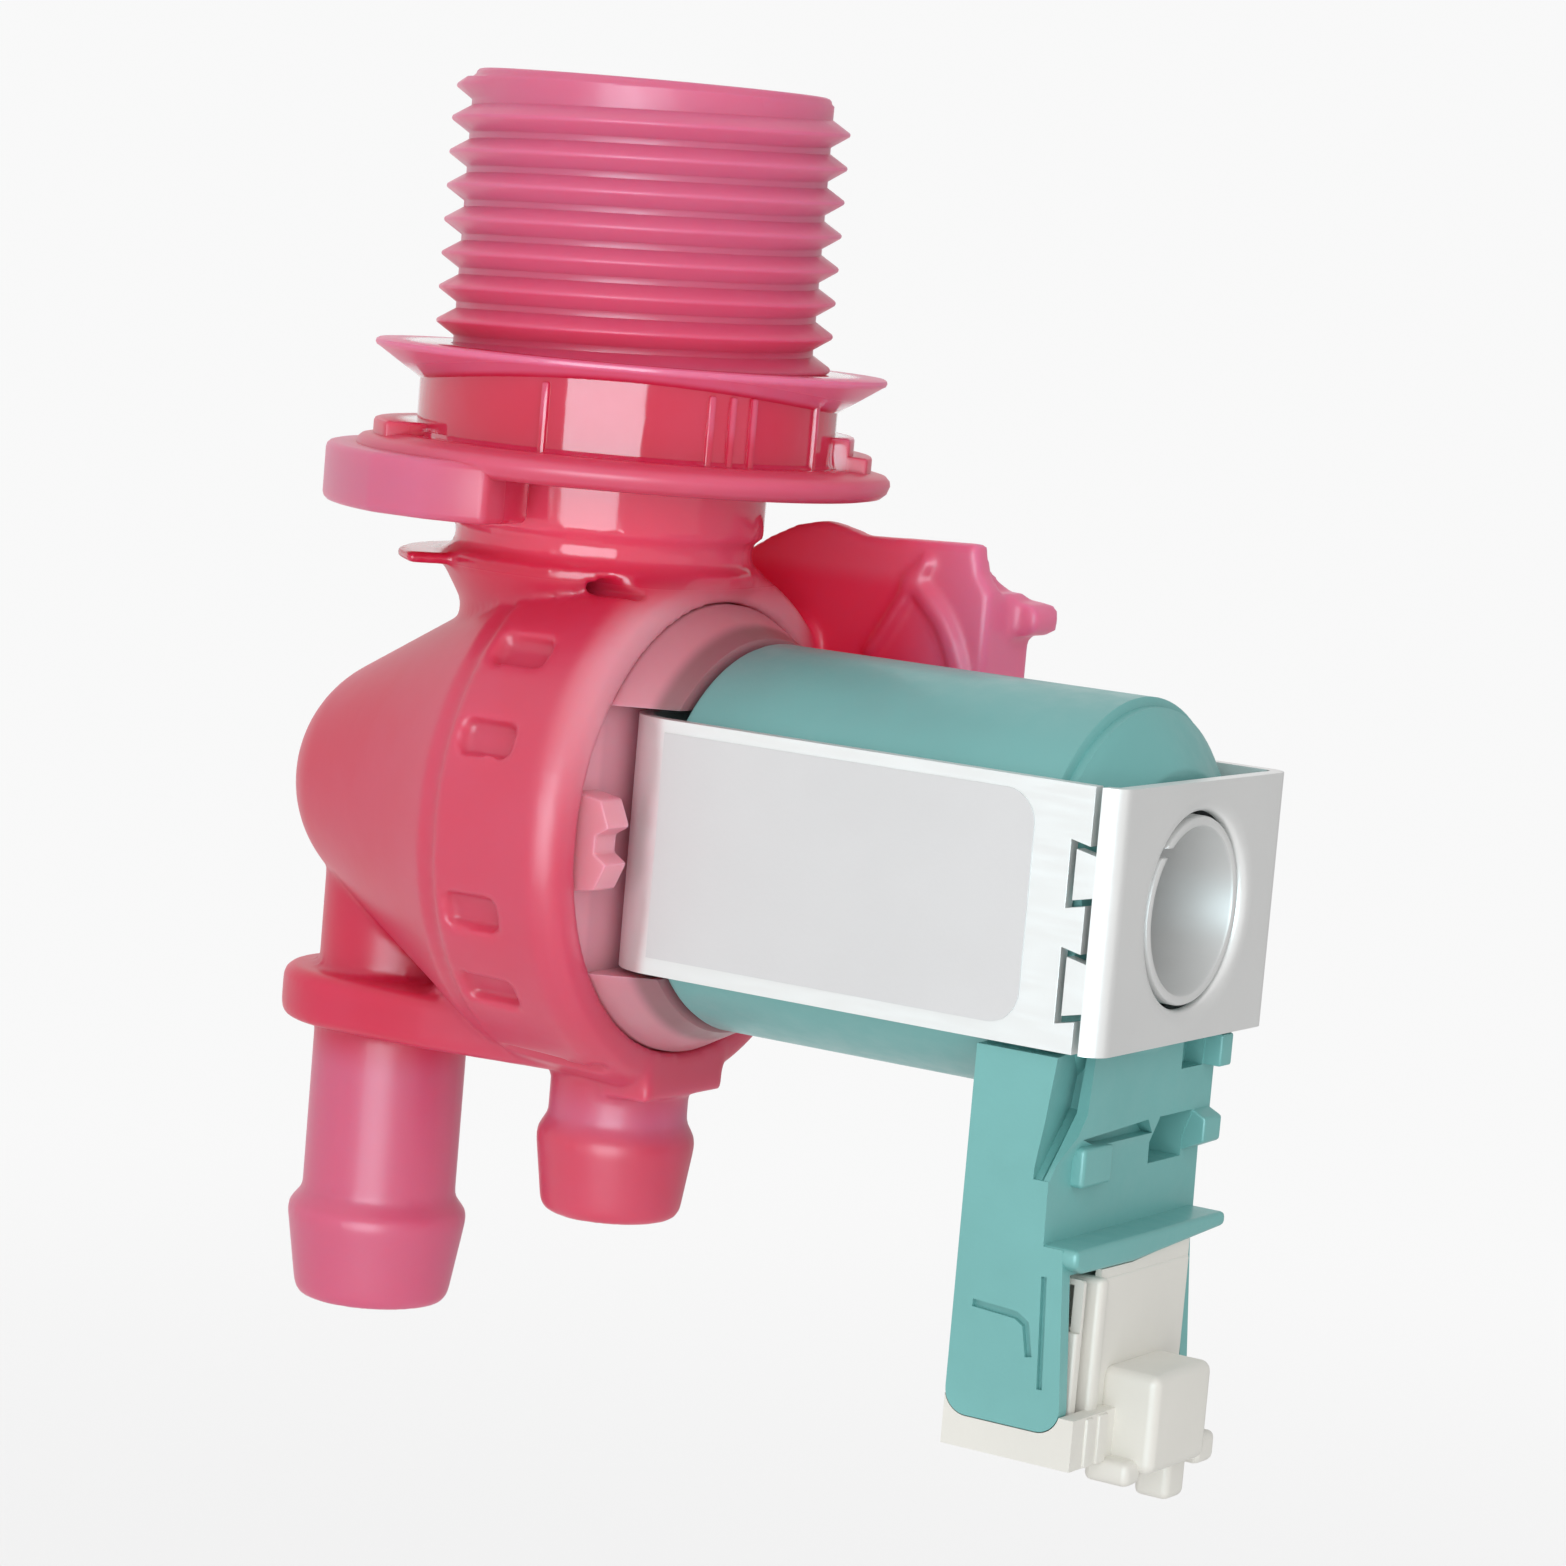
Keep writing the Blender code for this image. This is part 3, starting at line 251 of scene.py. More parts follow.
class ValveSizes(PropertyGroup):
    """Sizes that a user may change."""

    thread_radius: length("Thread radius", "Radius over the thread's crests", 0.0135)
    thread_pitch: length("Thread pitch", "Distance from one turn to the next", 0.00228)
    mould_grain: length("Mould grain", "Size of the cells that round the chamber's corners", 0.00034)
    steel_edge: length("Steel edge", "Width of the broken edges on the yoke", 0.00014)
    cover_edge: length("Cover edge", "Width of the rounded edges on the coil cover", 0.0003)
    insert_edge: length("Insert edge", "Width of the rounded edges on the insert", 0.00025)
    label_corner: length("Label corner", "Radius of the bare label's corners", 0.0022)


class ValveColours(PropertyGroup):
    """Colours and light that a user may change."""

    deep: tint("Deep pink", "The moulding where it is thick", (0.64, 0.018, 0.070))
    warm: tint("Warm pink", "The moulding's plain walls", (0.66, 0.064, 0.124))
    pale: tint("Pale pink", "The moulding where light comes through a thin wall", (0.66, 0.145, 0.265))
    # Dusky pink is the ring's own colour; on the chamber it is painted light over the drum's shaded front by
    # the coil.
    dusk: tint("Dusky pink", "The moulding and its ring round the coil", (0.64, 0.27, 0.32))
    # Painted shade: the ends of the ring's lips, which sit in the shadowed gap by the coil cover.
    lip_shade: tint("Smoky pink", "The ends of the ring's lips", (0.30, 0.14, 0.155))
    # Painted light: the thin snap hooks, paler with light coming through them.
    hook_glow: tint("Frosty pink", "The ring's thin snap hooks", (0.74, 0.30, 0.36))
    teal: tint("Teal", "Coil cover and connector", (0.17, 0.45, 0.435))
    zinc: tint("Zinc", "Plated steel of the yoke", (0.80, 0.80, 0.79))
    ivory: tint("Ivory", "Connector insert", (0.77, 0.755, 0.70))
    label: tint("Label", "Bare label on the yoke", (0.68, 0.68, 0.685))
    backdrop: level("Backdrop", "Brightness of the floor and of what lies behind it", 0.945)
    fill: level("Fill", "Brightness of the light from all round", 0.50, 2.0)


def linked(name, data):
    """A new object in the scene."""
    thing = bpy.data.objects.new(name, data)
    bpy.context.scene.collection.objects.link(thing)
    return thing


def meshed(name, bm):
    """An object from a bmesh, which is used up."""
    mesh = bpy.data.meshes.new(name)
    bm.to_mesh(mesh)
    bm.free()
    return linked(name, mesh)


def shaded(piece, sharp):
    """Shades a piece smoothly but for the edges that turn by more than an angle in degrees."""
    piece.data.shade_smooth()
    piece.data.set_sharp_from_angle(angle=math.radians(sharp))
    return piece


def turn(angle, axis):
    """A rotation about an axis through the origin, by degrees."""
    return Matrix.Rotation(math.radians(angle), 4, axis)


def grown(parts, step):
    """Moves the points among what an extrusion made, and gives them back."""
    points = [part for part in parts["geom"] if isinstance(part, bmesh.types.BMVert)]
    for point in points:
        point.co += Vector(step)
    return points


def finished(name, bm, sharp=32.0):
    """Makes an object in metres from a bmesh drawn in millimetres, smooth but for its sharp edges."""
    bmesh.ops.remove_doubles(bm, verts=bm.verts, dist=WELD)
    bmesh.ops.recalc_face_normals(bm, faces=bm.faces)
    bmesh.ops.scale(bm, vec=(MM, MM, MM), verts=bm.verts)
    return shaded(meshed(name, bm), sharp)


def turned(name, profile, place=Matrix.Identity(4), facets=FINE):
    """A solid of revolution from a closed profile of (radius, distance along the axis) points."""
    bm = bmesh.new()
    points = [bm.verts.new((radius, 0, along)) for radius, along in profile]
    pairs = zip(points, points[1:] + points[:1])
    lines = [bm.edges.new(pair) for pair in pairs if max(end.co.x for end in pair) > 0]
    bmesh.ops.spin(
        bm, geom=points + lines, cent=(0, 0, 0), axis=(0, 0, 1),
        angle=math.tau, steps=facets, use_merge=True,
    )
    bmesh.ops.transform(bm, matrix=place, verts=bm.verts)
    return finished(name, bm)


def round_coil(name, profile):
    """A solid of revolution about the coil's axis."""
    return turned(name, profile, Matrix.Translation(COIL_CENTRE) @ turn(90, "Y"))


def upright(name, profile, x, facets=SMALL):
    """A solid of revolution about an upright axis that crosses the X axis at x."""
    return turned(name, profile, Matrix.Translation((x, 0, 0)), facets)


def rod(name, radius, low, high, x):
    """A plain upright cylinder between two heights."""
    return upright(name, [(0, low), (radius, low), (radius, high), (0, high)], x)


def extruded(bm, outline, along, low, high):
    """Adds a prism to bm: outline lies across the along axis, its points in X, Y, Z order."""
    spots = {
        "X": lambda a, b: (low, a, b),
        "Y": lambda a, b: (a, low, b),
        "Z": lambda a, b: (a, b, low),
    }
    face = bm.faces.new([bm.verts.new(spots[along](a, b)) for a, b in outline])
    step = [high - low if axis == along else 0 for axis in "XYZ"]
    return grown(bmesh.ops.extrude_face_region(bm, geom=[face]), step) + list(face.verts)


def prism(name, outline, along, low, high):
    """A solid of one constant outline."""
    bm = bmesh.new()
    extruded(bm, outline, along, low, high)
    return finished(name, bm)


def rectangle(a_low, a_high, b_low, b_high):
    """The four corners of an upright rectangle."""
    return [(a_low, b_low), (a_high, b_low), (a_high, b_high), (a_low, b_high)]


def block(name, low, high):
    """A box between two corners."""
    return prism(name, rectangle(low[0], high[0], low[1], high[1]), "Z", low[2], high[2])


def arc(centre, radius, start, end, steps):
    """Points along an arc, its angles in degrees."""
    angles = [math.radians(start + (end - start) * i / steps) for i in range(steps + 1)]
    return [(centre[0] + radius * math.cos(a), centre[1] + radius * math.sin(a)) for a in angles]


def ribbon(points, width):
    """The outline of a strip of one width that follows a line of points in a plane."""
    points = [Vector(point) for point in points]
    sides = ([], [])
    for index, point in enumerate(points):
        before = (point - points[index - 1]).normalized() if index else (points[1] - point).normalized()
        after = (points[index + 1] - point).normalized() if index + 1 < len(points) else before
        across = Vector((-(before + after).y, (before + after).x)).normalized()
        reach = width / 2 / max(0.3, across.dot(Vector((-before.y, before.x))))
        sides[0].append(tuple(point + across * reach))
        sides[1].append(tuple(point - across * reach))
    return sides[0] + sides[1][::-1]


def lofted(name, loops):
    """A solid through several loops of equal length, capped at its first and last."""
    bm = bmesh.new()
    rings = [[bm.verts.new(point) for point in loop] for loop in loops]
    for low, high in zip(rings, rings[1:]):
        for i in range(len(low)):
            bm.faces.new((low[i - 1], low[i], high[i], high[i - 1]))
    bm.faces.new(rings[0])
    bm.faces.new(rings[-1])
    return finished(name, bm)


def modified(piece, kind, **settings):
    """Puts a modifier with its settings into a piece's mesh."""
    modifier = piece.modifiers.new(kind.lower(), kind)
    for name, value in settings.items():
        setattr(modifier, name, value)
    graph = bpy.context.evaluated_depsgraph_get()
    mesh = bpy.data.meshes.new_from_object(piece.evaluated_get(graph))
    piece.modifiers.clear()
    piece.data = mesh
    return piece


def combine(piece, tool, operation):
    """Joins a tool to a piece or cuts the piece with it, and throws the tool away."""
    modified(piece, "BOOLEAN", operation=operation, solver="EXACT", object=tool)
    bpy.data.objects.remove(tool, do_unlink=True)


def add(piece, tool):
    """Joins a tool to the piece."""
    combine(piece, tool, "UNION")


def cut(piece, tool):
    """Takes a tool away from the piece."""
    combine(piece, tool, "DIFFERENCE")


def rounded(piece, width, segments=2, angle=35.0):
    """Rounds the sharp edges of a piece by a width in millimetres."""
    return modified(
        piece, "BEVEL", width=width * MM, segments=segments, limit_method="ANGLE",
        angle_limit=math.radians(angle), use_clamp_overlap=True)


def cleared(piece):
    """Takes out what a cut can leave behind: slivers, loose edges and faces that are missing."""
    bm = bmesh.new()
    bm.from_mesh(piece.data)
    bmesh.ops.remove_doubles(bm, verts=bm.verts, dist=SLIVER * MM)
    bmesh.ops.dissolve_degenerate(bm, edges=bm.edges, dist=SLIVER * MM)
    loose = [edge for edge in bm.edges if not edge.link_faces]
    bmesh.ops.delete(bm, geom=loose, context="EDGES")
    bmesh.ops.holes_fill(bm, edges=[edge for edge in bm.edges if edge.is_boundary], sides=0)
    bm.to_mesh(piece.data)
    bm.free()
    return piece


def evened(piece, sharp=32.0):
    """Shades a piece smoothly, its wide faces flat up to their rounded edges."""
    return modified(shaded(cleared(piece), sharp), "WEIGHTED_NORMAL", keep_sharp=True, weight=80)


def softened(piece, cell):
    """Recasts a solid in small even cells, smooths it and thins it out, which fillets its corners."""
    modified(piece, "REMESH", mode="VOXEL", voxel_size=cell)
    modified(piece, "SMOOTH", factor=0.5, iterations=4)
    modified(piece, "DECIMATE", ratio=0.5)
    piece.data.shade_smooth()
    return piece


def placed(piece, finish, slot, *nodes):
    """Gives a finished piece its material and the nodes it stands for, which it hides; the record slot is
    not used.
    """
    piece.data.materials.clear()
    piece.data.materials.append(finish)
    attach(piece, "valve")
    if nodes:
        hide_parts(*nodes)


class Network:
    """A tree of shader nodes under construction."""

    def __init__(self, tree):
        self.nodes = tree.nodes
        self.links = tree.links

    def feed(self, value, socket):
        """Links another node's output to an input, or writes a plain value or colour into it."""
        if isinstance(value, bpy.types.NodeSocket):
            self.links.new(value, socket)
        elif socket.type == "RGBA":
            socket.default_value = (*value, 1.0)
        else:
            socket.default_value = value

    def node(self, kind, output, feeds, **settings):
        """Adds a node with its settings, feeds its inputs and gives one of its outputs."""
        made = self.nodes.new("ShaderNode" + kind)
        for name, value in settings.items():
            setattr(made, name, value)
        for name, value in feeds.items():
            self.feed(value, made.inputs[name])
        return made.outputs[output]


class Finish(Network):
    """A procedural material under construction, laid out in Object coordinates."""

    def __init__(self, name):
        self.material = bpy.data.materials.new(name)
        self.material.use_nodes = True
        super().__init__(self.material.node_tree)
        self.shader = self.nodes["Principled BSDF"]
        self.where = self.node("TexCoord", "Object", {})

    def set(self, **values):
        """Sets shader inputs, named with underscores for spaces."""
        for name, value in values.items():
            self.feed(value, self.shader.inputs[name.replace("_", " ")])

    def blend(self, low, high, factor):
        """A colour between two."""
        mix = self.nodes.new("ShaderNodeMix")
        mix.data_type = "RGBA"
        ends = [socket for socket in mix.inputs if socket.type == "RGBA"]
        self.feed(low, ends[0])
        self.feed(high, ends[1])
        self.feed(factor, mix.inputs["Factor"])
        return next(socket for socket in mix.outputs if socket.type == "RGBA")

    def layered(self, colour, *layers):
        """A colour with others laid over it in turn, each by its own factor."""
        for over, factor in layers:
            colour = self.blend(colour, over, factor)
        return colour

    def times(self, first, second):
        """The product of two values."""
        return self.node("Math", "Value", {0: first, 1: second}, operation="MULTIPLY")

    def ramp(self, value, start, end, low=0.0, high=1.0):
        """A smooth step from low to high while a value goes from start to end."""
        feeds = {"Value": value, "From Min": start, "From Max": end, "To Min": low, "To Max": high}
        return self.node("MapRange", "Result", feeds, interpolation_type="SMOOTHSTEP")

    def along(self, axis, start, end, low=0.0, high=1.0):
        """A smooth step between two places on an axis, in millimetres."""
        place = self.node("SeparateXYZ", axis, {"Vector": self.where})
        if start > end:
            start, end, low, high = end, start, high, low
        return self.ramp(place, start * MM, end * MM, low, high)

    def away(self, start, end, low=0.0, high=1.0):
        """A smooth step between two distances from the inlet axis, in millimetres."""
        flat = self.node("VectorMath", "Vector", {0: self.where, 1: (1.0, 1.0, 0.0)}, operation="MULTIPLY")
        reach = self.node("VectorMath", "Value", {0: flat}, operation="LENGTH")
        return self.ramp(reach, start * MM, end * MM, low, high)

    def cloud(self, scale, low=0.0, high=1.0, stretch=(1.0, 1.0, 1.0)):
        """A soft noise between two values."""
        place = self.node("Mapping", "Vector", {"Vector": self.where, "Scale": stretch})
        noise = self.node("TexNoise", "Fac", {"Vector": place, "Scale": scale, "Detail": 3.0})
        return self.ramp(noise, 0.3, 0.7, low, high)

    def grain(self, scale, height, stretch=(1.0, 1.0, 1.0)):
        """A fine texture on the surface, its height in millimetres."""
        feeds = {"Strength": 0.6, "Distance": height * MM, "Height": self.cloud(scale, stretch=stretch)}
        self.set(Normal=self.node("Bump", "Normal", feeds))


def pink_nylon(finish, colour, roughness=None):
    """Translucent moulded nylon over a colour that the caller has laid out."""
    paler = finish.blend(colour, colours().pale, finish.cloud(150.0, 0.0, 0.10))
    finish.set(
        Base_Color=paler, Roughness=roughness or finish.cloud(400.0, 0.30, 0.42), IOR=1.48,
        Subsurface_Weight=0.6, Subsurface_Radius=(1.0, 0.22, 0.32), Subsurface_Scale=0.003,
    )
    finish.grain(700.0, 0.004)
    return finish.material


def moulded(name, colour, shade, roughness, coat=0.0):
    """Opaque moulded plastic with a faint flow pattern and a fine grain."""
    finish = Finish(name)
    finish.set(
        Base_Color=finish.blend(colour, shade, finish.cloud(90.0)),
        Roughness=finish.cloud(600.0, roughness - 0.05, roughness + 0.06),
        Coat_Weight=coat, Coat_Roughness=0.15,
    )
    finish.grain(2200.0, 0.006)
    return finish.material


def plated(name, colour, shade, roughness, metallic=1.0):
    """Plated metal, a little cloudy, with fine rolling marks along it."""
    finish = Finish(name)
    rolled = (0.08, 1.0, 1.0)
    finish.set(
        Base_Color=finish.blend(colour, shade, finish.cloud(120.0)), Metallic=metallic,
        Roughness=finish.cloud(2600.0, roughness - 0.03, roughness + 0.03, rolled),
    )
    finish.grain(2600.0, 0.0004, rolled)
    return finish.material


def scaled(colour, share):
    """A colour brought down or up by a share."""
    return tuple(min(1.0, part * share) for part in colour)


def sizes():
    """The scene's own sizes."""
    return bpy.context.scene.valve_sizes


def colours():
    """The scene's own colours."""
    return bpy.context.scene.valve_colours


def threaded_spigot(radius, pitch):
    """The inlet spigot: a rounded thread wound up a helix to its run-out, then turned off and bored."""
    ease = 0.06
    root_flat = pitch - 2 * THREAD_FLANK - THREAD_CREST
    crest = radius - THREAD_ROOT_R
    section = [
        (0.0, 0.0), (0.0, root_flat - ease), (0.05, root_flat),
        (crest - ease, root_flat + THREAD_FLANK - ease), (crest, root_flat + THREAD_FLANK + ease * 0.6),
        (crest, pitch - THREAD_FLANK - ease * 0.6), (crest - ease, pitch - THREAD_FLANK + ease),
        (0.0, pitch),
    ]
    turns = math.ceil((SPIGOT_TOP_Z + 1.0 - THREAD_START_Z) / pitch)
    last = (THREAD_END_Z - THREAD_START_Z - root_flat - THREAD_FLANK) / pitch
    bm = bmesh.new()
    rings = []
    for step in range(turns * FINE + 1):
        part = step / FINE
        swell = min(1.0, max(0.0, (last - part) / THREAD_RUN_OUT))
        angle = math.radians(THREAD_LEFT) + part * math.tau
        ring = []
        for rise, along in section:
            reach = THREAD_ROOT_R + rise * swell
            height = THREAD_START_Z + part * pitch + along
            ring.append(bm.verts.new((reach * math.cos(angle), reach * math.sin(angle), height)))
        rings.append(ring)
    for low, high in zip(rings, rings[1:]):
        for i in range(len(section) - 1):
            bm.faces.new((low[i], high[i], high[i + 1], low[i + 1]))
    bmesh.ops.remove_doubles(bm, verts=bm.verts, dist=0.004)
    middle = THREAD_START_Z + turns * pitch / 2
    for low_end, tip_z in ((True, THREAD_START_Z), (False, 2 * middle - THREAD_START_Z)):
        tip = bm.verts.new((0, 0, tip_z))
        for edge in [e for e in bm.edges if e.is_boundary and (e.verts[0].co.z < middle) == low_end]:
            if tip not in edge.verts:
                bm.faces.new((*edge.verts, tip))
    spigot = finished("inlet_thread", bm, 60.0)
    combine(spigot, turned("thread_blank", [
        (INLET_BORE_R, -0.55), (radius + 1, -0.55), (radius + 1, SPIGOT_TOP_Z - 0.62),
        (THREAD_ROOT_R + 0.1, SPIGOT_TOP_Z - 0.62), (RIM_R, SPIGOT_TOP_Z - 0.4),
        (RIM_R - 0.06, SPIGOT_TOP_Z - 0.2), (RIM_R - 0.2, SPIGOT_TOP_Z - 0.06), (RIM_R - 0.4, SPIGOT_TOP_Z),
        (FILTER_BORE_R + 0.9, SPIGOT_TOP_Z), (FILTER_BORE_R + 0.1, SPIGOT_TOP_Z - 0.8),
        (FILTER_BORE_R, SPIGOT_TOP_Z - 1.1), (FILTER_BORE_R, FILTER_STEP_Z), (INLET_BORE_R, FILTER_STEP_Z),
    ]), "INTERSECT")
    return shaded(spigot, 50)


def ring_segment(name, inner, outer, start, end, low, high):
    """A stretch of a ring round the inlet axis."""
    outline = arc((0, 0), outer, start, end, 24) + arc((0, 0), inner, end, start, 24)
    return prism(name, outline, "Z", low, high)


def panel_flange():
    """The oval flange, widest at its two ears, whose underside slopes down to the collar."""
    inner = 12.0
    flange = turned("panel_flange", [
        (inner, -FLANGE_LIP - (FLANGE_R - inner) * FLANGE_SLOPE), (FLANGE_R - 0.3, -FLANGE_LIP),
        (FLANGE_R - 0.08, -FLANGE_LIP + 0.12), (FLANGE_R, -0.3), (FLANGE_R - 0.06, -0.1),
        (FLANGE_R - 0.25, 0), (inner, 0),
    ])
    flange.data.transform(turn(FLANGE_TURN, "Z") @ Matrix.Diagonal((1, FLANGE_NARROW_R / FLANGE_R, 1, 1)))
    return flange


def inlet_collar():
    """Oval panel flange, collar, locking ring, lug, steps and ribs."""
    collar = turned("inlet_collar", [
        (REGULATOR_BORE_R, RING_BOTTOM_Z), (RING_R - 1.2, RING_BOTTOM_Z),
        (RING_R - 0.6, RING_BOTTOM_Z + 0.12), (RING_R - 0.2, RING_BOTTOM_Z + 0.45),
        (RING_R, RING_BOTTOM_Z + 1.0), (RING_R - 0.05, RING_TOP_Z - 0.6), (RING_R - 0.35, RING_TOP_Z - 0.3),
        (RING_R - 1.7, RING_TOP_Z), (COLLAR_R + 0.25, RING_TOP_Z + 0.1), (COLLAR_R, RING_TOP_Z + 0.35),
        (COLLAR_R, -FLANGE_LIP), (INLET_BORE_R, -FLANGE_LIP), (INLET_BORE_R, -4.0), (REGULATOR_BORE_R, -4.0),
    ])
    add(collar, panel_flange())
    lug = arc((0, 0), LUG_R, 160, 250, 48) + arc((0, 0), LUG_R - 0.9, 262, 262, 1)[:1]
    lug += arc((0, 0), RING_R - 0.2, 275, 275, 1)[:1] + arc((0, 0), 12.2, 275, 160, 30)
    add(collar, rounded(prism("locking_lug", lug, "Z", LUG_BOTTOM_Z, LUG_TOP_Z), 0.5, 3))
    add(collar, rounded(ring_segment("lug_step", 13.5, 17.2, 170, 235, -8.0, -5.4), 0.25))
    for reach, top in ((15.6, -4.1), (16.9, -5.3)):
        add(collar, rounded(ring_segment("ring_tooth", 13.5, reach, 20, 60, RING_TOP_Z - 0.3, top), 0.2))
    for half_turn in (0, 180):
        for angle in (11.8, 56.5, 62.7, 69.2, 95.0):
            rib = rounded(prism("collar_rib", rectangle(-0.26, 0.26, -COLLAR_R - 0.3, 1.0 - COLLAR_R), "Z",
                                RING_TOP_Z - 0.2, RIB_TOP_Z), 0.18)
            rib.data.transform(turn(angle + half_turn, "Z"))
            add(collar, rib)
    return shaded(cleared(collar), 38)


def neck():
    """The neck between ring and chamber, with its step, its waist and the fin behind."""
    column = upright("neck", [
        (0, -23.0), (WAIST_R + 0.8, -23.0), (WAIST_R, -18.6), (WAIST_R, -17.4), (WAIST_R + 0.8, -16.0),
        (NECK_R + 0.1, -14.8), (NECK_R + 0.1, -13.9), (NECK_R - 0.7, -13.5),
        (NECK_R - 0.7, NECK_STEP_Z - 0.2), (NECK_R, NECK_STEP_Z), (NECK_R, RING_BOTTOM_Z + 0.5),
        (0, RING_BOTTOM_Z + 0.5),
    ], NECK_X, FINE)
    add(column, ring_segment("neck_fin", 8.0, FIN_R, 140, 235, -14.85, -14.1))
    return column


def chamber_shell():
    """Drum, tapering back and rounded nose as one turned form about the solenoid's axis."""
    lean = math.radians(NOSE_LEAN)
    nose = [
        (NOSE_R * math.sin(a), NOSE_X - NOSE_R * math.cos(a))
        for a in [i / 12 * (math.pi / 2 - lean) for i in range(13)]
    ]
    back = [(DRUM_R - 0.5, DRUM_BACK_X - 1.6), (DRUM_R - 0.5, DRUM_BACK_X), (DRUM_R, DRUM_BACK_X)]
    front = [
        (DRUM_RIM_R, DRUM_FRONT_X - 1.9), (DRUM_RIM_R - 0.35, DRUM_FRONT_X - 0.9),
        (DRUM_RIM_R - 0.9, DRUM_FRONT_X - 0.25), (DRUM_RIM_R - 1.6, DRUM_FRONT_X),
    ]
    return round_coil("chamber_shell", nose + back + front + [(0, DRUM_FRONT_X)])


def barbed_outlet(name, x, top, tube, barb, barb_z, end_z):
    """A hose tail: plain tube, one barb with a short ramp, and a long taper to its end."""
    return upright(name, [
        (0, top), (tube, top), (tube, barb_z + 1.2), (tube + 0.25, barb_z + 0.9), (barb, barb_z + 0.1),
        (barb, barb_z - 0.5), (tube + 0.05, end_z + 0.6), (tube - 0.35, end_z), (0, end_z),
    ], x)


def outlet_base():
    """The base bar that ties the outlets together, rounded round the main one."""
    far_end = DRUM_FRONT_X - 0.2
    outline = arc((MAIN_X, 0), BASE_R, 90, 270, 32)
    outline += [(MAIN_X + 8.0, -BASE_R), (far_end, -5.2), (far_end, 4.4), (MAIN_X + 8.0, BASE_R)]
    return rounded(prism("outlet_base", outline, "Z", BASE_BOTTOM_Z, BASE_TOP_Z), 0.8, 2)


def side_bracket():
    """The channel-shaped bracket beside the solenoid, open at its back, with its hump, ribs and nib."""
    plate = [
        (1.0, -14.0), (4.3, -11.9), (6.5, -10.8), (8.7, -10.3), (10.5, -10.6), (12.0, BRACKET_TOP_Z - 0.4),
        (BRACKET_TOP_END_X, BRACKET_TOP_Z), (BRACKET_TOP_END_X + 0.4, BRACKET_TOP_Z - 2.0),
        (BRACKET_END_X, BRACKET_TOP_Z - 3.2), (BRACKET_END_X, BRACKET_BOTTOM_Z), (1.0, BRACKET_BOTTOM_Z),
    ]
    near, far = BRACKET_NEAR_Y, BRACKET_FAR_Y
    bracket = prism("side_bracket", plate, "Y", near, near + BRACKET_WALL)
    top = [
        (near, BRACKET_TOP_Z - 0.5), (far, BRACKET_TOP_Z - 3.6),
        (far, BRACKET_TOP_Z - 3.6 - BRACKET_WALL), (near, BRACKET_TOP_Z - 0.5 - BRACKET_WALL),
    ]
    add(bracket, prism("bracket_top", top, "X", 8.0, BRACKET_TOP_END_X - 0.1))
    end = [
        (near, BRACKET_TOP_Z - 3.3), (far - 1.2, BRACKET_TOP_Z - 3.3), (far, BRACKET_TOP_Z - 4.6),
        (far, BRACKET_BOTTOM_Z + 3.0), (near, BRACKET_BOTTOM_Z),
    ]
    add(bracket, prism("bracket_end", end, "X", BRACKET_END_X - BRACKET_WALL, BRACKET_END_X))
    add(bracket, block("bracket_web", (12.0, near, BRACKET_TOP_Z - 14.0),
                       (BRACKET_END_X, far - 1.5, BRACKET_TOP_Z - 12.6)))
    nib = arc((BRACKET_END_X + 1.0, -15.6), 1.15, -80, 80, 12)
    nib += [(BRACKET_END_X - 1.0, -14.3), (BRACKET_END_X - 1.0, -16.8)]
    add(bracket, prism("bracket_nib", nib, "Y", far - 3.0, far + 0.2))
    slant = ribbon([(17.6, -12.0), (13.4, -19.2)], 0.7)
    curve = arc((11.4, -22.0), 10.2, 62, 10, 18) + arc((11.4, -22.0), 9.1, 10, 62, 18)
    for outline in (slant, curve):
        add(bracket, prism("bracket_rib", outline, "Y", near - 0.5, near + 0.5))
    return bracket


def drum_windows():
    """Cutter for the shallow snap windows round the drum and the two long slots on top and below."""
    bm = bmesh.new()
    small = [(angle, 0.3, 4.5, 1.2, 0.85) for angle in (-38, -18, 20, 41, 139, 160, 198, 218)]
    long = [(angle, -0.1, 8.3, 0.6, 0.4) for angle in (-62, 62, 118, 242)]
    for angle, start, end, half_width, depth in small + long:
        corners = rectangle(-DRUM_R - 1, depth - DRUM_R, -half_width, half_width)
        spots = extruded(bm, corners, "X", start, end)
        bmesh.ops.transform(bm, matrix=Matrix.Translation(COIL_CENTRE) @ turn(-angle, "X"), verts=spots)
    return finished("drum_windows", bm)


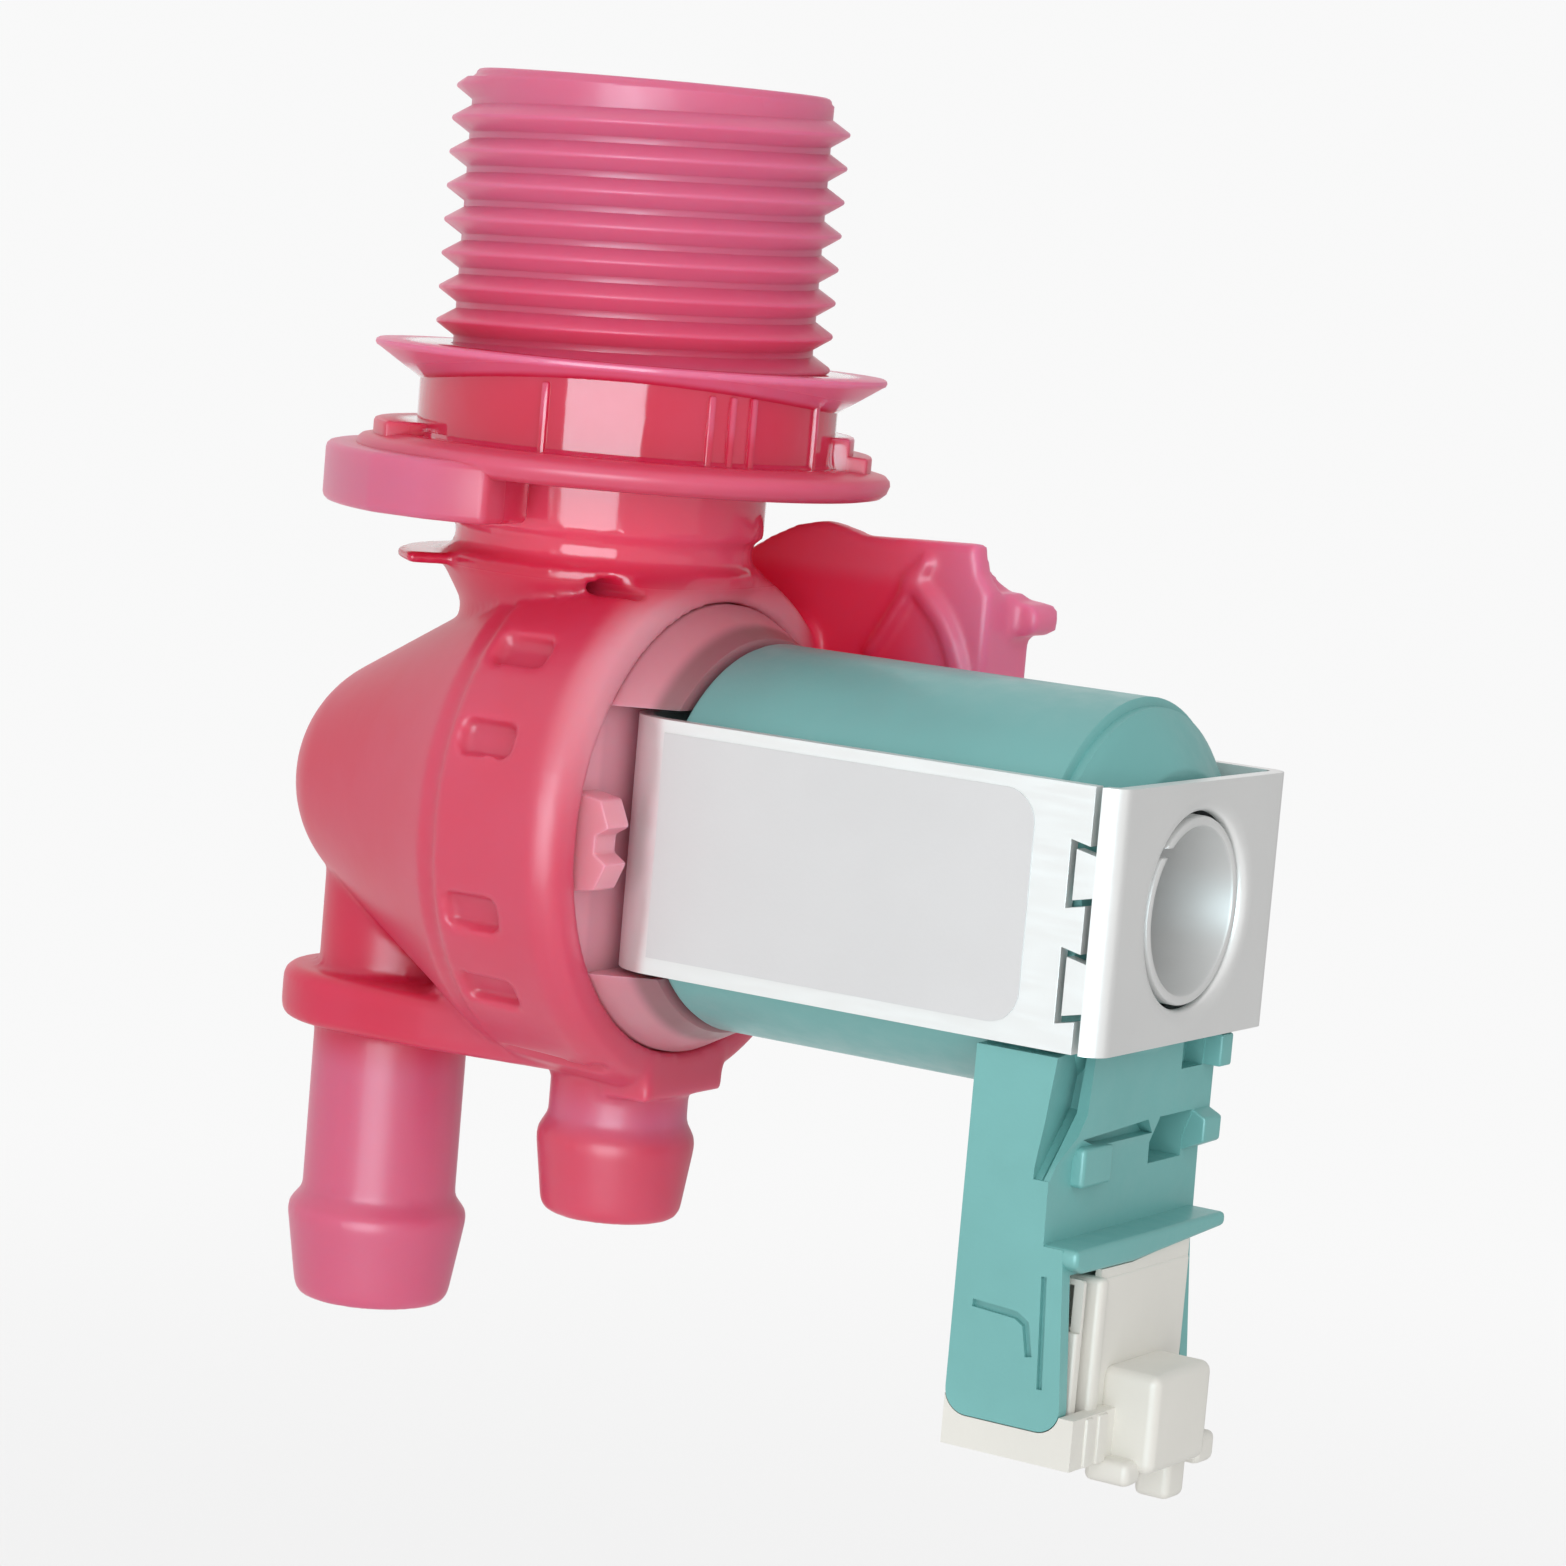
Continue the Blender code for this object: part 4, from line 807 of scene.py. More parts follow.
def waterway():
    """The water's way through the body, as one cutter: chamber, seat, cross channel and outlets."""
    way = round_coil("waterway", [
        (0, -19.5), (4.6, -19.5), (5.2, -18.5), (5.2, -9.0), (SEAT_BORE_R, -7.8), (SEAT_BORE_R, SEAT_LIP_X),
        (SEAT_R - 0.5, SEAT_LIP_X), (SEAT_R, SEAT_LIP_X - 0.6), (SEAT_R, CHAMBER_BACK_X),
        (CHAMBER_R, CHAMBER_BACK_X), (CHAMBER_R, 0), (CLAMP_R, 0), (CLAMP_R, RING_POCKET_X),
        (RING_POCKET_R, RING_POCKET_X), (RING_POCKET_R, DRUM_FRONT_X + 1), (0, DRUM_FRONT_X + 1),
    ])
    add(way, turned("neck_bore", [
        (0, -12.5), (5.5, -12.5), (5.5, -9.5), (REGULATOR_BORE_R, -9.5), (REGULATOR_BORE_R, -7.0), (0, -7.0),
    ], facets=SMALL))
    add(way, rod("chamber_inlet", 3.3, -20.0, -12.2, -3.4))
    add(way, rod("main_bore", MAIN_BORE_R, MAIN_END_Z - 1, AXIS_Z, MAIN_X))
    add(way, rod("side_bore", SIDE_BORE_R, SIDE_END_Z - 1, CHANNEL_HIGH_Z - 0.3, SIDE_X))
    add(way, block("cross_channel", (MAIN_X, -CHANNEL_HALF_Y, CHANNEL_LOW_Z),
                   (SIDE_X + 2.0, CHANNEL_HALF_Y, CHANNEL_HIGH_Z)))
    return way


def valve_chamber(cell):
    """Neck, drum, outlets and bracket as one moulding, its corners filleted by recasting."""
    chamber = chamber_shell()
    chamber.name = "valve_chamber"
    add(chamber, neck())
    for outlet in (
        ("main_outlet", MAIN_X, AXIS_Z, MAIN_TUBE_R, MAIN_BARB_R, MAIN_BARB_Z, MAIN_END_Z),
        ("side_outlet", SIDE_X, -47.0, SIDE_TUBE_R, SIDE_BARB_R, SIDE_BARB_Z, SIDE_END_Z),
    ):
        add(chamber, barbed_outlet(*outlet))
    add(chamber, outlet_base())
    add(chamber, block("front_foot", (5.6, -4.8, -49.7), (DRUM_FRONT_X + 0.1, 4.6, -46.0)))
    add(chamber, side_bracket())
    cut(chamber, drum_windows())
    cut(chamber, waterway())
    return softened(chamber, cell)


def retaining_ring():
    """The ring that snaps in over the guide's flange, with its locating lips and hooks."""
    ring = round_coil("snap_ring", [
        (6.9, 7.4), (15.2, 7.4), (15.4, 7.6), (15.4, 8.4), (15.2, 8.6), (7.1, 8.6), (6.9, 8.4),
    ])
    lips = round_coil("locating_lips", [
        (11.7, 8.0), (15.2, 8.0), (15.33, 8.2), (15.33, 9.3), (14.7, 10.5), (13.7, 12.4), (13.45, 12.85),
        (13.1, 13.0), (11.8, 13.0), (11.7, 12.9),
    ])
    cut(lips, block("lip_gap", (6.0, -20.0, AXIS_Z - 8.95), (14.0, 20.0, AXIS_Z + 8.95)))
    add(ring, lips)
    for side in (-1, 1):
        outer, inner = sorted((side * 15.0, side * 12.5))
        hook = [(8.1, AXIS_Z - 3.4), (10.6, AXIS_Z - 3.0), (11.4, AXIS_Z - 1.2), (10.4, AXIS_Z - 0.6),
                (10.4, AXIS_Z + 0.6), (11.4, AXIS_Z + 1.2), (10.6, AXIS_Z + 3.0), (8.1, AXIS_Z + 3.4)]
        add(ring, rounded(prism("snap_hook", hook, "Y", outer, inner), 0.2))
    return evened(ring)


def rear_sleeve():
    """The slit steel sleeve whose end shows in the yoke's hole."""
    sleeve = round_coil("pole_sleeve_end", [
        (SLEEVE_BORE_R, 34.0), (SLEEVE_R, 34.0), (SLEEVE_R, 46.45), (SLEEVE_R - 0.08, 46.62),
        (SLEEVE_R - 0.25, 46.7), (SLEEVE_BORE_R + 0.25, 46.7), (SLEEVE_BORE_R + 0.08, 46.62),
        (SLEEVE_BORE_R, 46.45),
    ])
    cut(sleeve, block("sleeve_slit", (33.0, -8.0, AXIS_Z + 3.7), (49.0, -2.0, AXIS_Z + 4.3)))
    return sleeve


def yoke_strip():
    """The steel strip bent round the coil, holed for the sleeves and closed at a dovetailed seam."""
    bends = [
        ((YOKE_START_X, -YOKE_HALF_Y), YOKE_START_BEND, 180, 1, 1),
        ((YOKE_END_X, -YOKE_HALF_Y), YOKE_END_BEND, 270, -1, 1),
        ((YOKE_END_X, YOKE_HALF_Y), YOKE_END_BEND, 0, -1, -1),
        ((YOKE_START_X, YOKE_HALF_Y), YOKE_START_BEND, 90, 1, -1),
    ]
    outline = []
    for corner, radius, start, toward_x, toward_y in bends:
        centre = (corner[0] + toward_x * radius, corner[1] + toward_y * radius)
        outline += arc(centre, radius, start, start + 90, 18)
    bm = bmesh.new()
    ends = [bm.verts.new((x, y, AXIS_Z - YOKE_HALF_HEIGHT)) for x, y in outline]
    edges = [bm.edges.new(pair) for pair in zip(ends, ends[1:] + ends[:1])]
    grown(bmesh.ops.extrude_edge_only(bm, edges=edges), (0, 0, 2 * YOKE_HALF_HEIGHT))
    strip = finished("yoke_strip", bm)
    modified(strip, "SOLIDIFY", thickness=YOKE_THICKNESS * MM, offset=-1, use_even_offset=True)
    flare = [(YOKE_HOLE_R + 1.15 * (1 - math.sin(a)), YOKE_END_X - 0.72 * (1 - math.cos(a)))
             for a in [math.radians(90 - 15 * i) for i in range(7)]]
    cut(strip, round_coil("yoke_holes", [
        (0, YOKE_START_X - 1), (YOKE_HOLE_R, YOKE_START_X - 1), *flare,
        (YOKE_HOLE_R + 1.15, YOKE_END_X + 1), (0, YOKE_END_X + 1),
    ]))
    top, bottom = AXIS_Z + YOKE_HALF_HEIGHT + 1, AXIS_Z - YOKE_HALF_HEIGHT - 1
    line = [(SEAM_X, top)]
    for tab_top, tab_bottom in ((-26.8, -30.0), (-33.6, -37.3)):
        line += [(SEAM_X, tab_top), (SEAM_TAB_X, tab_top + 0.3)]
        line += [(SEAM_TAB_X, tab_bottom - 0.3), (SEAM_X, tab_bottom)]
    line.append((SEAM_X, bottom))
    cut(strip, prism("yoke_seam", ribbon(line, SEAM_WIDTH), "Y", -YOKE_HALF_Y - 1, -YOKE_HALF_Y + 2))
    rounded(strip, sizes().steel_edge / MM, 2, 50)
    return evened(strip, 40)


def bare_label():
    """The bare label on the yoke's near face."""
    corner = sizes().label_corner / MM
    left, right = 12.9, 41.0
    low, high = AXIS_Z - 7.3, AXIS_Z + 7.6
    outline = [(left, high), (left, low)]
    outline += arc((right - corner, low + corner), corner, 270, 360, 12)
    outline += arc((right - corner, high - corner), corner, 0, 90, 12)
    return prism("bare_label", outline, "Y", -YOKE_HALF_Y - 0.09, -YOKE_HALF_Y - 0.01)


def connector_shroud():
    """The outer form of the connector: slanting corner recess, latch hole, side tabs, ledge and marks."""
    near, far = SHROUD_NEAR_Y, SHROUD_FAR_Y
    crease = LEDGE_Z + 7.2
    upper = [
        (SHROUD_BACK_X, SHROUD_TOP_Z), (FRONT_X + 0.3, SHROUD_TOP_Z), (FRONT_X + 0.3, crease),
        (FRONT_X - 0.3, crease - 1.7), (FRONT_X - 0.2, LEDGE_Z), (SHROUD_BACK_X, LEDGE_Z),
    ]
    shroud = prism("connector_shroud", upper, "Y", near, far)
    add(shroud, prism("connector_foot", foot_outline(), "Y", near, SHROUD_FOOT_FAR_Y))
    ledge = [(near + 0.01, -53.1), (near + 1.2, -53.6), (-3.0, -53.7), (far - 0.01, -52.95),
             (far - 0.01, -52.0), (near + 0.01, -52.0)]
    add(shroud, rounded(prism("shroud_ledge", ledge, "X", FRONT_X - 1.2, FRONT_X + 2.3), 0.35, 3, 30))
    tab = [(FRONT_X - 0.8, -44.7), (FRONT_X + 1.3, -45.7), (FRONT_X + 1.3, -47.3), (FRONT_X - 0.8, -48.3)]
    add(shroud, rounded(prism("latch_post", tab, "Y", far - 2.4, far), 0.2))
    tab = block("shroud_tab", (FRONT_X - 0.8, far - 1.6, -42.3), (FRONT_X + 1.6, far, SHROUD_TOP_Z))
    add(shroud, rounded(tab, 0.2))
    stop = block("latch_stop", (FRONT_X - 0.8, -8.1, -48.7), (FRONT_X + 0.6, -4.2, -46.1))
    add(shroud, rounded(stop, 0.3, 3))
    recess = []
    for z, left, right, edge, depth, under in (
        (-39.0, 44.2, 44.0, 3.8, 5.2, 1.2),
        (-44.0, 43.6, 43.8, 3.3, 4.6, 1.0),
        (-48.0, 43.0, 43.6, 0.15, 0.3, 0.1),
    ):
        recess.append([
            (left, near - 1, z), (46.0, near - 1, z), (46.0, near + edge, z), (right, near + edge, z),
            (right - 0.2, near + depth, z), (left - under, near + depth, z),
        ])
    cut(shroud, lofted("corner_recess", recess))
    relief = [(-7.8, -45.6), (0.6, -45.2), (2.0, -46.3), (-3.6, -46.3), (-6.2, -46.1)]
    cut(shroud, prism("stop_relief", relief, "X", FRONT_X - 0.9, FRONT_X + 1))
    cut(shroud, block("latch_hole", (FRONT_X - 2.6, far - 7.0, -48.4), (FRONT_X + 2, far - 2.5, -45.2)))
    cut(shroud, block("tab_recess", (FRONT_X - 1.0, far - 4.6, -42.3),
                      (FRONT_X + 2, far - 1.7, SHROUD_TOP_Z + 1)))
    mark = [(39.4, -56.6), (42.6, -56.8), (43.35, -57.25), (43.75, -59.3)]
    groove = [(44.35, -54.0), (44.75, -61.2)]
    for name, line, width in (("corner_mark", mark, 0.5), ("side_groove", groove, 0.4)):
        cut(shroud, prism(name, ribbon(line, width), "Y", near - 1.0, near + 0.35))
    socket_low = (SHROUD_BACK_X + SHROUD_WALL, near + SHROUD_WALL, SHROUD_BOTTOM_Z - 1)
    socket_high = (SHROUD_FACE_X + 1, SHROUD_FOOT_FAR_Y - SHROUD_WALL, SOCKET_TOP_Z)
    cut(shroud, block("socket", socket_low, socket_high))
    for y in TERMINAL_YS:
        cut(shroud, block("terminal_pocket", (TERMINAL_X - 0.6, y - 1.7, SOCKET_TOP_Z - 1),
                          (TERMINAL_X + 0.6, y + 1.7, -48.4)))
    return shroud


def coil_cover():
    """The moulded cover of the coil with the connector under it, flat where the yoke grips it."""
    cover = round_coil("coil_cover_shell", [
        (0, COIL_NOSE_X), (COIL_NOSE_R - 0.2, COIL_NOSE_X), (COIL_NOSE_R, COIL_NOSE_X + 0.2),
        (COIL_NOSE_R, COIL_START_X), (COIL_R - 0.5, COIL_START_X), (COIL_R - 0.15, COIL_START_X + 0.15),
        (COIL_R, COIL_START_X + 0.5), (COIL_R, COIL_GROOVE_X), (COIL_R - 0.15, COIL_GROOVE_X + 0.1),
        (COIL_R - 0.6, COIL_GROOVE_X + 0.2), (COIL_R - 0.6, COIL_GROOVE_X + 0.8), (COIL_R - 1.0, 42.9),
        (COIL_R - 1.4, 43.25), (COIL_CONE_R + 0.3, COIL_END_X - 0.1), (COIL_CONE_R, COIL_END_X),
        (0, COIL_END_X),
    ])
    for low, high in ((-20.0, -COIL_HALF_Y), (COIL_HALF_Y, 20.0)):
        cut(cover, block("cover_flat", (0.0, low, -50.0), (50.0, high, -15.0)))
    add(cover, connector_shroud())
    cut(cover, round_coil("coil_pocket", [
        (0, 9.0), (BOBBIN_R + GAP, 9.0), (BOBBIN_R + GAP, 14.3), (BOBBIN_FLANGE_R + GAP, 14.3),
        (BOBBIN_FLANGE_R + GAP, 43.3), (BOBBIN_R + GAP, 43.3), (BOBBIN_R + GAP, 46.0), (0, 46.0),
    ]))
    rounded(cover, sizes().cover_edge / MM, 2, 50)
    return evened(cover, 35)


def foot_outline(margin=0.0):
    """The connector's lower outline in X and Z, rounded at its bottom corners and grown by a margin."""
    low, back, front, corner = SHROUD_BOTTOM_Z, SHROUD_BACK_X, SHROUD_FACE_X + 0.8, 1.6
    outline = arc((back + corner, low + corner), corner + margin, 180, 270, 10)
    outline += arc((front - corner, low + corner), corner + margin, 270, 360, 10)
    return outline + [(SHROUD_FACE_X + margin, LEDGE_Z + 0.4), (back - margin, LEDGE_Z + 0.4)]


def insert_flange():
    """The insert's bottom flange, whose rim follows the rounded corners of the connector's foot."""
    rim = prism("insert_flange", rectangle(SHROUD_BACK_X, INSERT_FRONT_X, INSERT_BOTTOM_Z, -62.7), "Y",
                SHROUD_NEAR_Y, SHROUD_FOOT_FAR_Y)
    cut(rim, prism("foot_print", foot_outline(0.07), "Y", SHROUD_NEAR_Y - 1, SHROUD_FOOT_FAR_Y + 1))
    return rim


def connector_insert():
    """The ivory insert that closes the connector: body, foot flange, columns, front plate and latch."""
    edge = sizes().insert_edge / MM
    low_y, high_y = SHROUD_NEAR_Y + SHROUD_WALL + GAP, SHROUD_FOOT_FAR_Y - SHROUD_WALL - GAP
    back = SHROUD_BACK_X + SHROUD_WALL + GAP
    top = SOCKET_TOP_Z - GAP
    insert = block("insert_moulding", (back, low_y, -64.6), (44.4, high_y, top))
    add(insert, insert_flange())
    columns = ((0.3, 1.2, 46.2, -65.0, edge), (1.9, 3.1, 46.8, -65.1, 0.4))
    for start, end, *_ in columns:
        low, high = (46.0, low_y + start, INSERT_BOTTOM_Z), (INSERT_FRONT_X + 0.2, low_y + end, -62.8)
        add(insert, rounded(block("column_foot", low, high), 0.15))
    for start, end, front, bottom, soft in columns:
        column = block("column", (43.8, low_y + start, bottom), (front, low_y + end, top - 0.1))
        add(insert, rounded(column, soft, 3))
    plate = [(43.6, low_y + 2.6), (46.4, low_y + 2.6), (46.4, high_y), (43.6, high_y)]
    add(insert, rounded(prism("front_plate", plate, "Z", -65.4, top - 0.2), edge, 3))
    lip = [(low_y + 2.7, top - 1.2), (high_y - 0.1, top - 1.2), (high_y - 0.1, -53.15), (-3.0, -53.78),
           (low_y + 2.7, -53.72)]
    add(insert, prism("plate_lip", lip, "X", 45.85, 46.3))
    latch = rectangle(46.0, 50.3, -5.5, 2.1)
    add(insert, rounded(prism("insert_latch", latch, "Z", -66.7, -60.2), 0.7, 4))
    feet = [((46.2, -6.9, -67.4), (49.4, -4.9, -65.8)), ((47.0, -1.3, -69.2), (49.5, 1.2, -65.9)),
            ((46.1, 1.8, -67.3), (49.9, 4.2, -65.25))]
    for low, high in feet:
        add(insert, rounded(block("insert_foot", low, high), 0.5, 3))
    cut(insert, block("column_notch", (41.0, low_y - 1.0, -57.6), (47.0, low_y + 0.7, top + 1)))
    cut(insert, block("column_pocket", (39.9, low_y + 0.4, -57.6), (45.5, low_y + 4.2, top - 0.5)))
    for y in TERMINAL_YS:
        cut(insert, block("terminal_slot", (TERMINAL_X - 0.6, y - 1.7, INSERT_BOTTOM_Z - 1),
                          (TERMINAL_X + 0.6, y + 1.7, -53.0)))
    return evened(insert, 35)


class VALVE_OT_thread(Operator):
    """Builds the inlet spigot with its cut thread"""

    bl_idname = "valve.thread"
    bl_label = "Inlet Thread"

    def execute(self, context):
        tones = colours()
        spigot = threaded_spigot(sizes().thread_radius / MM, sizes().thread_pitch / MM)
        finish = Finish("pink_thread")
        # Painted light: the thread turns pale towards its top, with the glow of light through the spigot's
        # thin wall.
        colour = finish.blend(tones.deep, tones.pale, finish.along("Z", -9.0, 13.0))
        placed(spigot, pink_nylon(finish, colour), "pink_nylon", "valve_body")
        return {"FINISHED"}


class VALVE_OT_collar(Operator):
    """Builds the panel flange, collar, locking ring and lug"""

    bl_idname = "valve.collar"
    bl_label = "Flange And Locking Ring"

    def execute(self, context):
        tones = colours()
        finish = Finish("pink_collar")
        # Painted light: the flange band and the thin outer edges of ring and lug are pale with light coming
        # through them; the band is lifted further against the shade on its sloping underside.
        flange = finish.times(finish.away(14.35, 14.9), finish.along("Z", -5.0, -3.5))
        colour = finish.layered(
            tones.deep, (tones.warm, finish.away(14.8, 16.6)), (scaled(tones.pale, 1.12), flange),
            (tones.pale, finish.away(17.4, 19.6)))
        gloss = finish.away(14.7, 16.0, 0.07, 0.36)
        finish.set(Coat_Weight=finish.away(14.7, 16.0, 0.3, 0.0), Coat_Roughness=0.03)
        placed(inlet_collar(), pink_nylon(finish, colour, gloss), "pink_nylon", "valve_body")
        return {"FINISHED"}


class VALVE_OT_chamber(Operator):
    """Builds the neck, the drum, the outlets and the bracket"""

    bl_idname = "valve.chamber"
    bl_label = "Valve Chamber"

    def execute(self, context):
        tones = colours()
        finish = Finish("pink_chamber")
        walls = finish.times(finish.along("X", -14.0, 1.0), finish.along("Z", -14.0, -21.0))
        # Painted light: a lighter, greyer dusky pink covers the drum's shaded front next to the coil.
        front = finish.times(finish.along("X", 6.4, 9.6), finish.along("Y", 12.0, 9.0))
        for start, end in ((-13.5, -17.0), (-34.0, -18.0)):
            front = finish.times(front, finish.along("Z", start, end))
        side_barb = finish.times(finish.along("X", -6.0, -2.0), finish.along("Z", -51.5, -53.5))
        colour = finish.layered(
            tones.deep, (tones.warm, walls), (scaled(tones.dusk, 1.2), front),
            # Painted light: a brighter copy of the deep pink on the bracket's wall, which lies in shade
            # behind the coil.
            (scaled(tones.deep, 1.4), finish.along("Y", 11.0, 12.2)),
            # Painted light: a brighter copy of the warm pink on the neck and the bracket's top, above z −13.
            (scaled(tones.warm, 1.35), finish.along("Z", -14.5, -13.0)),
            # Painted light: pale pink of light coming through thin walls, on the bracket's far end and on
            # the outlets below the base.
            (scaled(tones.pale, 1.25), finish.along("X", 14.0, 22.0)),
            (tones.pale, finish.along("Z", -48.4, -52.0, 0.0, 0.8)), (tones.warm, side_barb))
        neck_only = finish.times(finish.along("Z", -15.2, -14.2), finish.along("Y", 11.6, 11.0))
        gloss = finish.ramp(neck_only, 0.0, 1.0, 0.36, 0.1)
        material = pink_nylon(finish, colour, gloss)
        placed(valve_chamber(sizes().mould_grain), material, "pink_nylon", "valve_body")
        return {"FINISHED"}


class VALVE_OT_retaining_ring(Operator):
    """Builds the ring that snaps in over the chamber"""

    bl_idname = "valve.retaining_ring"
    bl_label = "Retaining Ring"

    def execute(self, context):
        tones = colours()
        finish = Finish("pink_ring")
        colour = finish.layered(
            # Painted shade darkens the ends of the lips, where they sit in the shadowed gap by the coil
            # cover.
            tones.dusk, (tones.lip_shade, finish.along("X", 11.0, 12.0)),
            # Painted light: the thin snap hooks are paler with light coming through them.
            (tones.hook_glow, finish.along("Y", -12.0, -12.8)))
        placed(retaining_ring(), pink_nylon(finish, colour), "pink_nylon", "retaining_ring")
        return {"FINISHED"}


class VALVE_OT_yoke(Operator):
    """Builds the steel yoke with its seam, and the bare label on it"""

    bl_idname = "valve.yoke"
    bl_label = "Yoke And Label"

    def execute(self, context):
        tones = colours()
        steel = plated("zinc_plate", tones.zinc, scaled(tones.zinc, 0.97), 0.36, 0.55)
        placed(yoke_strip(), steel, "bare_steel", "yoke")
        paper = moulded("label_film", tones.label, scaled(tones.label, 0.97), 0.5)
        placed(bare_label(), paper, "bare_steel")
        satin = plated("sleeve_steel", scaled(tones.zinc, 0.84), scaled(tones.zinc, 0.78), 0.5, 0.25)
        placed(rear_sleeve(), satin, "bare_steel", "pole_sleeve_rear")
        return {"FINISHED"}


class VALVE_OT_coil_cover(Operator):
    """Builds the teal coil cover with its connector"""

    bl_idname = "valve.coil_cover"
    bl_label = "Coil Cover And Connector"

    def execute(self, context):
        tones = colours()
        finish = moulded("teal_nylon", tones.teal, scaled(tones.teal, 0.93), 0.42, 0.15)
        placed(coil_cover(), finish, "teal_nylon", "coil_cover")
        return {"FINISHED"}


class VALVE_OT_insert(Operator):
    """Builds the ivory insert of the connector"""

    bl_idname = "valve.insert"
    bl_label = "Connector Insert"

    def execute(self, context):
        tones = colours()
        finish = moulded("ivory_nylon", tones.ivory, scaled(tones.ivory, 0.95), 0.5)
        placed(connector_insert(), finish, "ivory_nylon", "connector_insert")
        return {"FINISHED"}


class VALVE_OT_inner_parts(Operator):
    """Gives the parts inside the valve their finishes"""

    bl_idname = "valve.inner_parts"
    bl_label = "Inner Parts"

    def execute(self, context):
        rubber = moulded("black_rubber", (0.02, 0.02, 0.021), (0.035, 0.034, 0.034), 0.7)
        white = moulded("white_nylon", (0.72, 0.72, 0.69), (0.66, 0.66, 0.63), 0.45)
        black = moulded("black_nylon", (0.025, 0.025, 0.028), (0.04, 0.04, 0.042), 0.4)
        bright = plated("bright_steel", (0.62, 0.61, 0.59), (0.5, 0.49, 0.48), 0.3)
        copper = plated("winding_copper", (0.72, 0.3, 0.13), (0.58, 0.22, 0.09), 0.35)
        tin = plated("tinned_brass", (0.7, 0.68, 0.6), (0.62, 0.6, 0.52), 0.3)
        finishes = {
            "inlet_filter": white, "regulator_holder": white, "regulator_washer": rubber,
            "diaphragm": rubber, "diaphragm_insert": white, "guide_tube": black, "plunger": bright,
            "plunger_tip": rubber, "plunger_spring": bright, "pole_sleeve_front": bright,
            "coil_bobbin": black, "coil_winding": copper, "terminal_near": tin, "terminal_far": tin,
        }
        for node, finish in finishes.items():
            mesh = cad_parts[node].data
            mesh.materials.clear()
            mesh.materials.append(finish)
        return {"FINISHED"}


class VALVE_OT_stage(Operator):
    """Builds the floor, the lights, the world and the camera"""

    bl_idname = "valve.stage"
    bl_label = "Stage And Camera"

    def execute(self, context):
        world_light()
        floor()
        window = soft_box("window_box", -69.5, -1.0, 0.60, (0.46, 0.40), 7.5)
        window.visible_diffuse = False
        window.data.color = (0.68, 0.96, 1.04)
        soft_box("top_box", -100.0, 60.0, 0.70, (0.6, 0.6), 0.4)
        for name, azimuth, elevation, distance, size, brightness in PLAIN_BOXES:
            box = soft_box(name, azimuth, elevation, distance, size, brightness)
            box.visible_glossy = False
        grey_card()
        camera()
        return {"FINISHED"}


def world_light():
    """Light of one level from all round, behind which the camera and reflections see a pale backdrop."""
    world = bpy.data.worlds.new("studio")
    bpy.context.scene.world = world
    world.use_nodes = True
    network = Network(world.node_tree)
    rays = network.nodes.new("ShaderNodeLightPath").outputs
    seen = rays["Is Camera Ray"]
    for name in ("Is Glossy Ray", "Is Transmission Ray"):
        seen = network.node("Math", "Value", {0: seen, 1: rays[name]}, operation="MAXIMUM")
    feeds = {"Value": seen, "To Min": colours().fill, "To Max": colours().backdrop}
    back = network.nodes["Background"]
    network.feed((1.0, 1.0, 1.0), back.inputs["Color"])
    network.feed(network.node("MapRange", "Result", feeds), back.inputs["Strength"])


def floor():
    """A round pale floor under the valve, which fades into the backdrop at its rim."""
    bm = bmesh.new()
    bmesh.ops.create_circle(bm, cap_ends=True, cap_tris=True, segments=FINE, radius=0.5)
    bmesh.ops.translate(bm, vec=(0.012, 0, CAD_BOX[0].z - 0.06), verts=bm.verts)
    ground = meshed("floor", bm)
    finish = Finish("pale_floor")
    finish.set(Base_Color=(0.97, 0.97, 0.97), Roughness=0.9)
    clear = finish.node("BsdfTransparent", "BSDF", {})
    fade = finish.away(120.0, 380.0, 0.74, 1.0)
    mixed = finish.node("MixShader", "Shader", {"Fac": fade, 1: finish.shader.outputs["BSDF"], 2: clear})
    finish.feed(mixed, finish.nodes["Material Output"].inputs["Surface"])
    ground.data.materials.append(finish.material)


def outward(azimuth, elevation):
    """A turn that has +Z lead away from the origin, at an azimuth and elevation in degrees."""
    return turn(azimuth + 90, "Z") @ turn(90 - elevation, "X")


def soft_box(name, azimuth, elevation, distance, size, brightness):
    """A soft light that faces the valve from an azimuth and elevation in degrees."""
    light = bpy.data.lights.new(name, "AREA")
    light.shape = "RECTANGLE"
    light.size, light.size_y = size
    light.energy = brightness * math.pi * size[0] * size[1]
    lamp = linked(name, light)
    middle = Matrix.Translation((CAD_BOX[0] + CAD_BOX[1]) / 2)
    lamp.matrix_world = middle @ outward(azimuth, elevation) @ Matrix.Translation((0, 0, distance))
    lamp.visible_camera = False
    return lamp


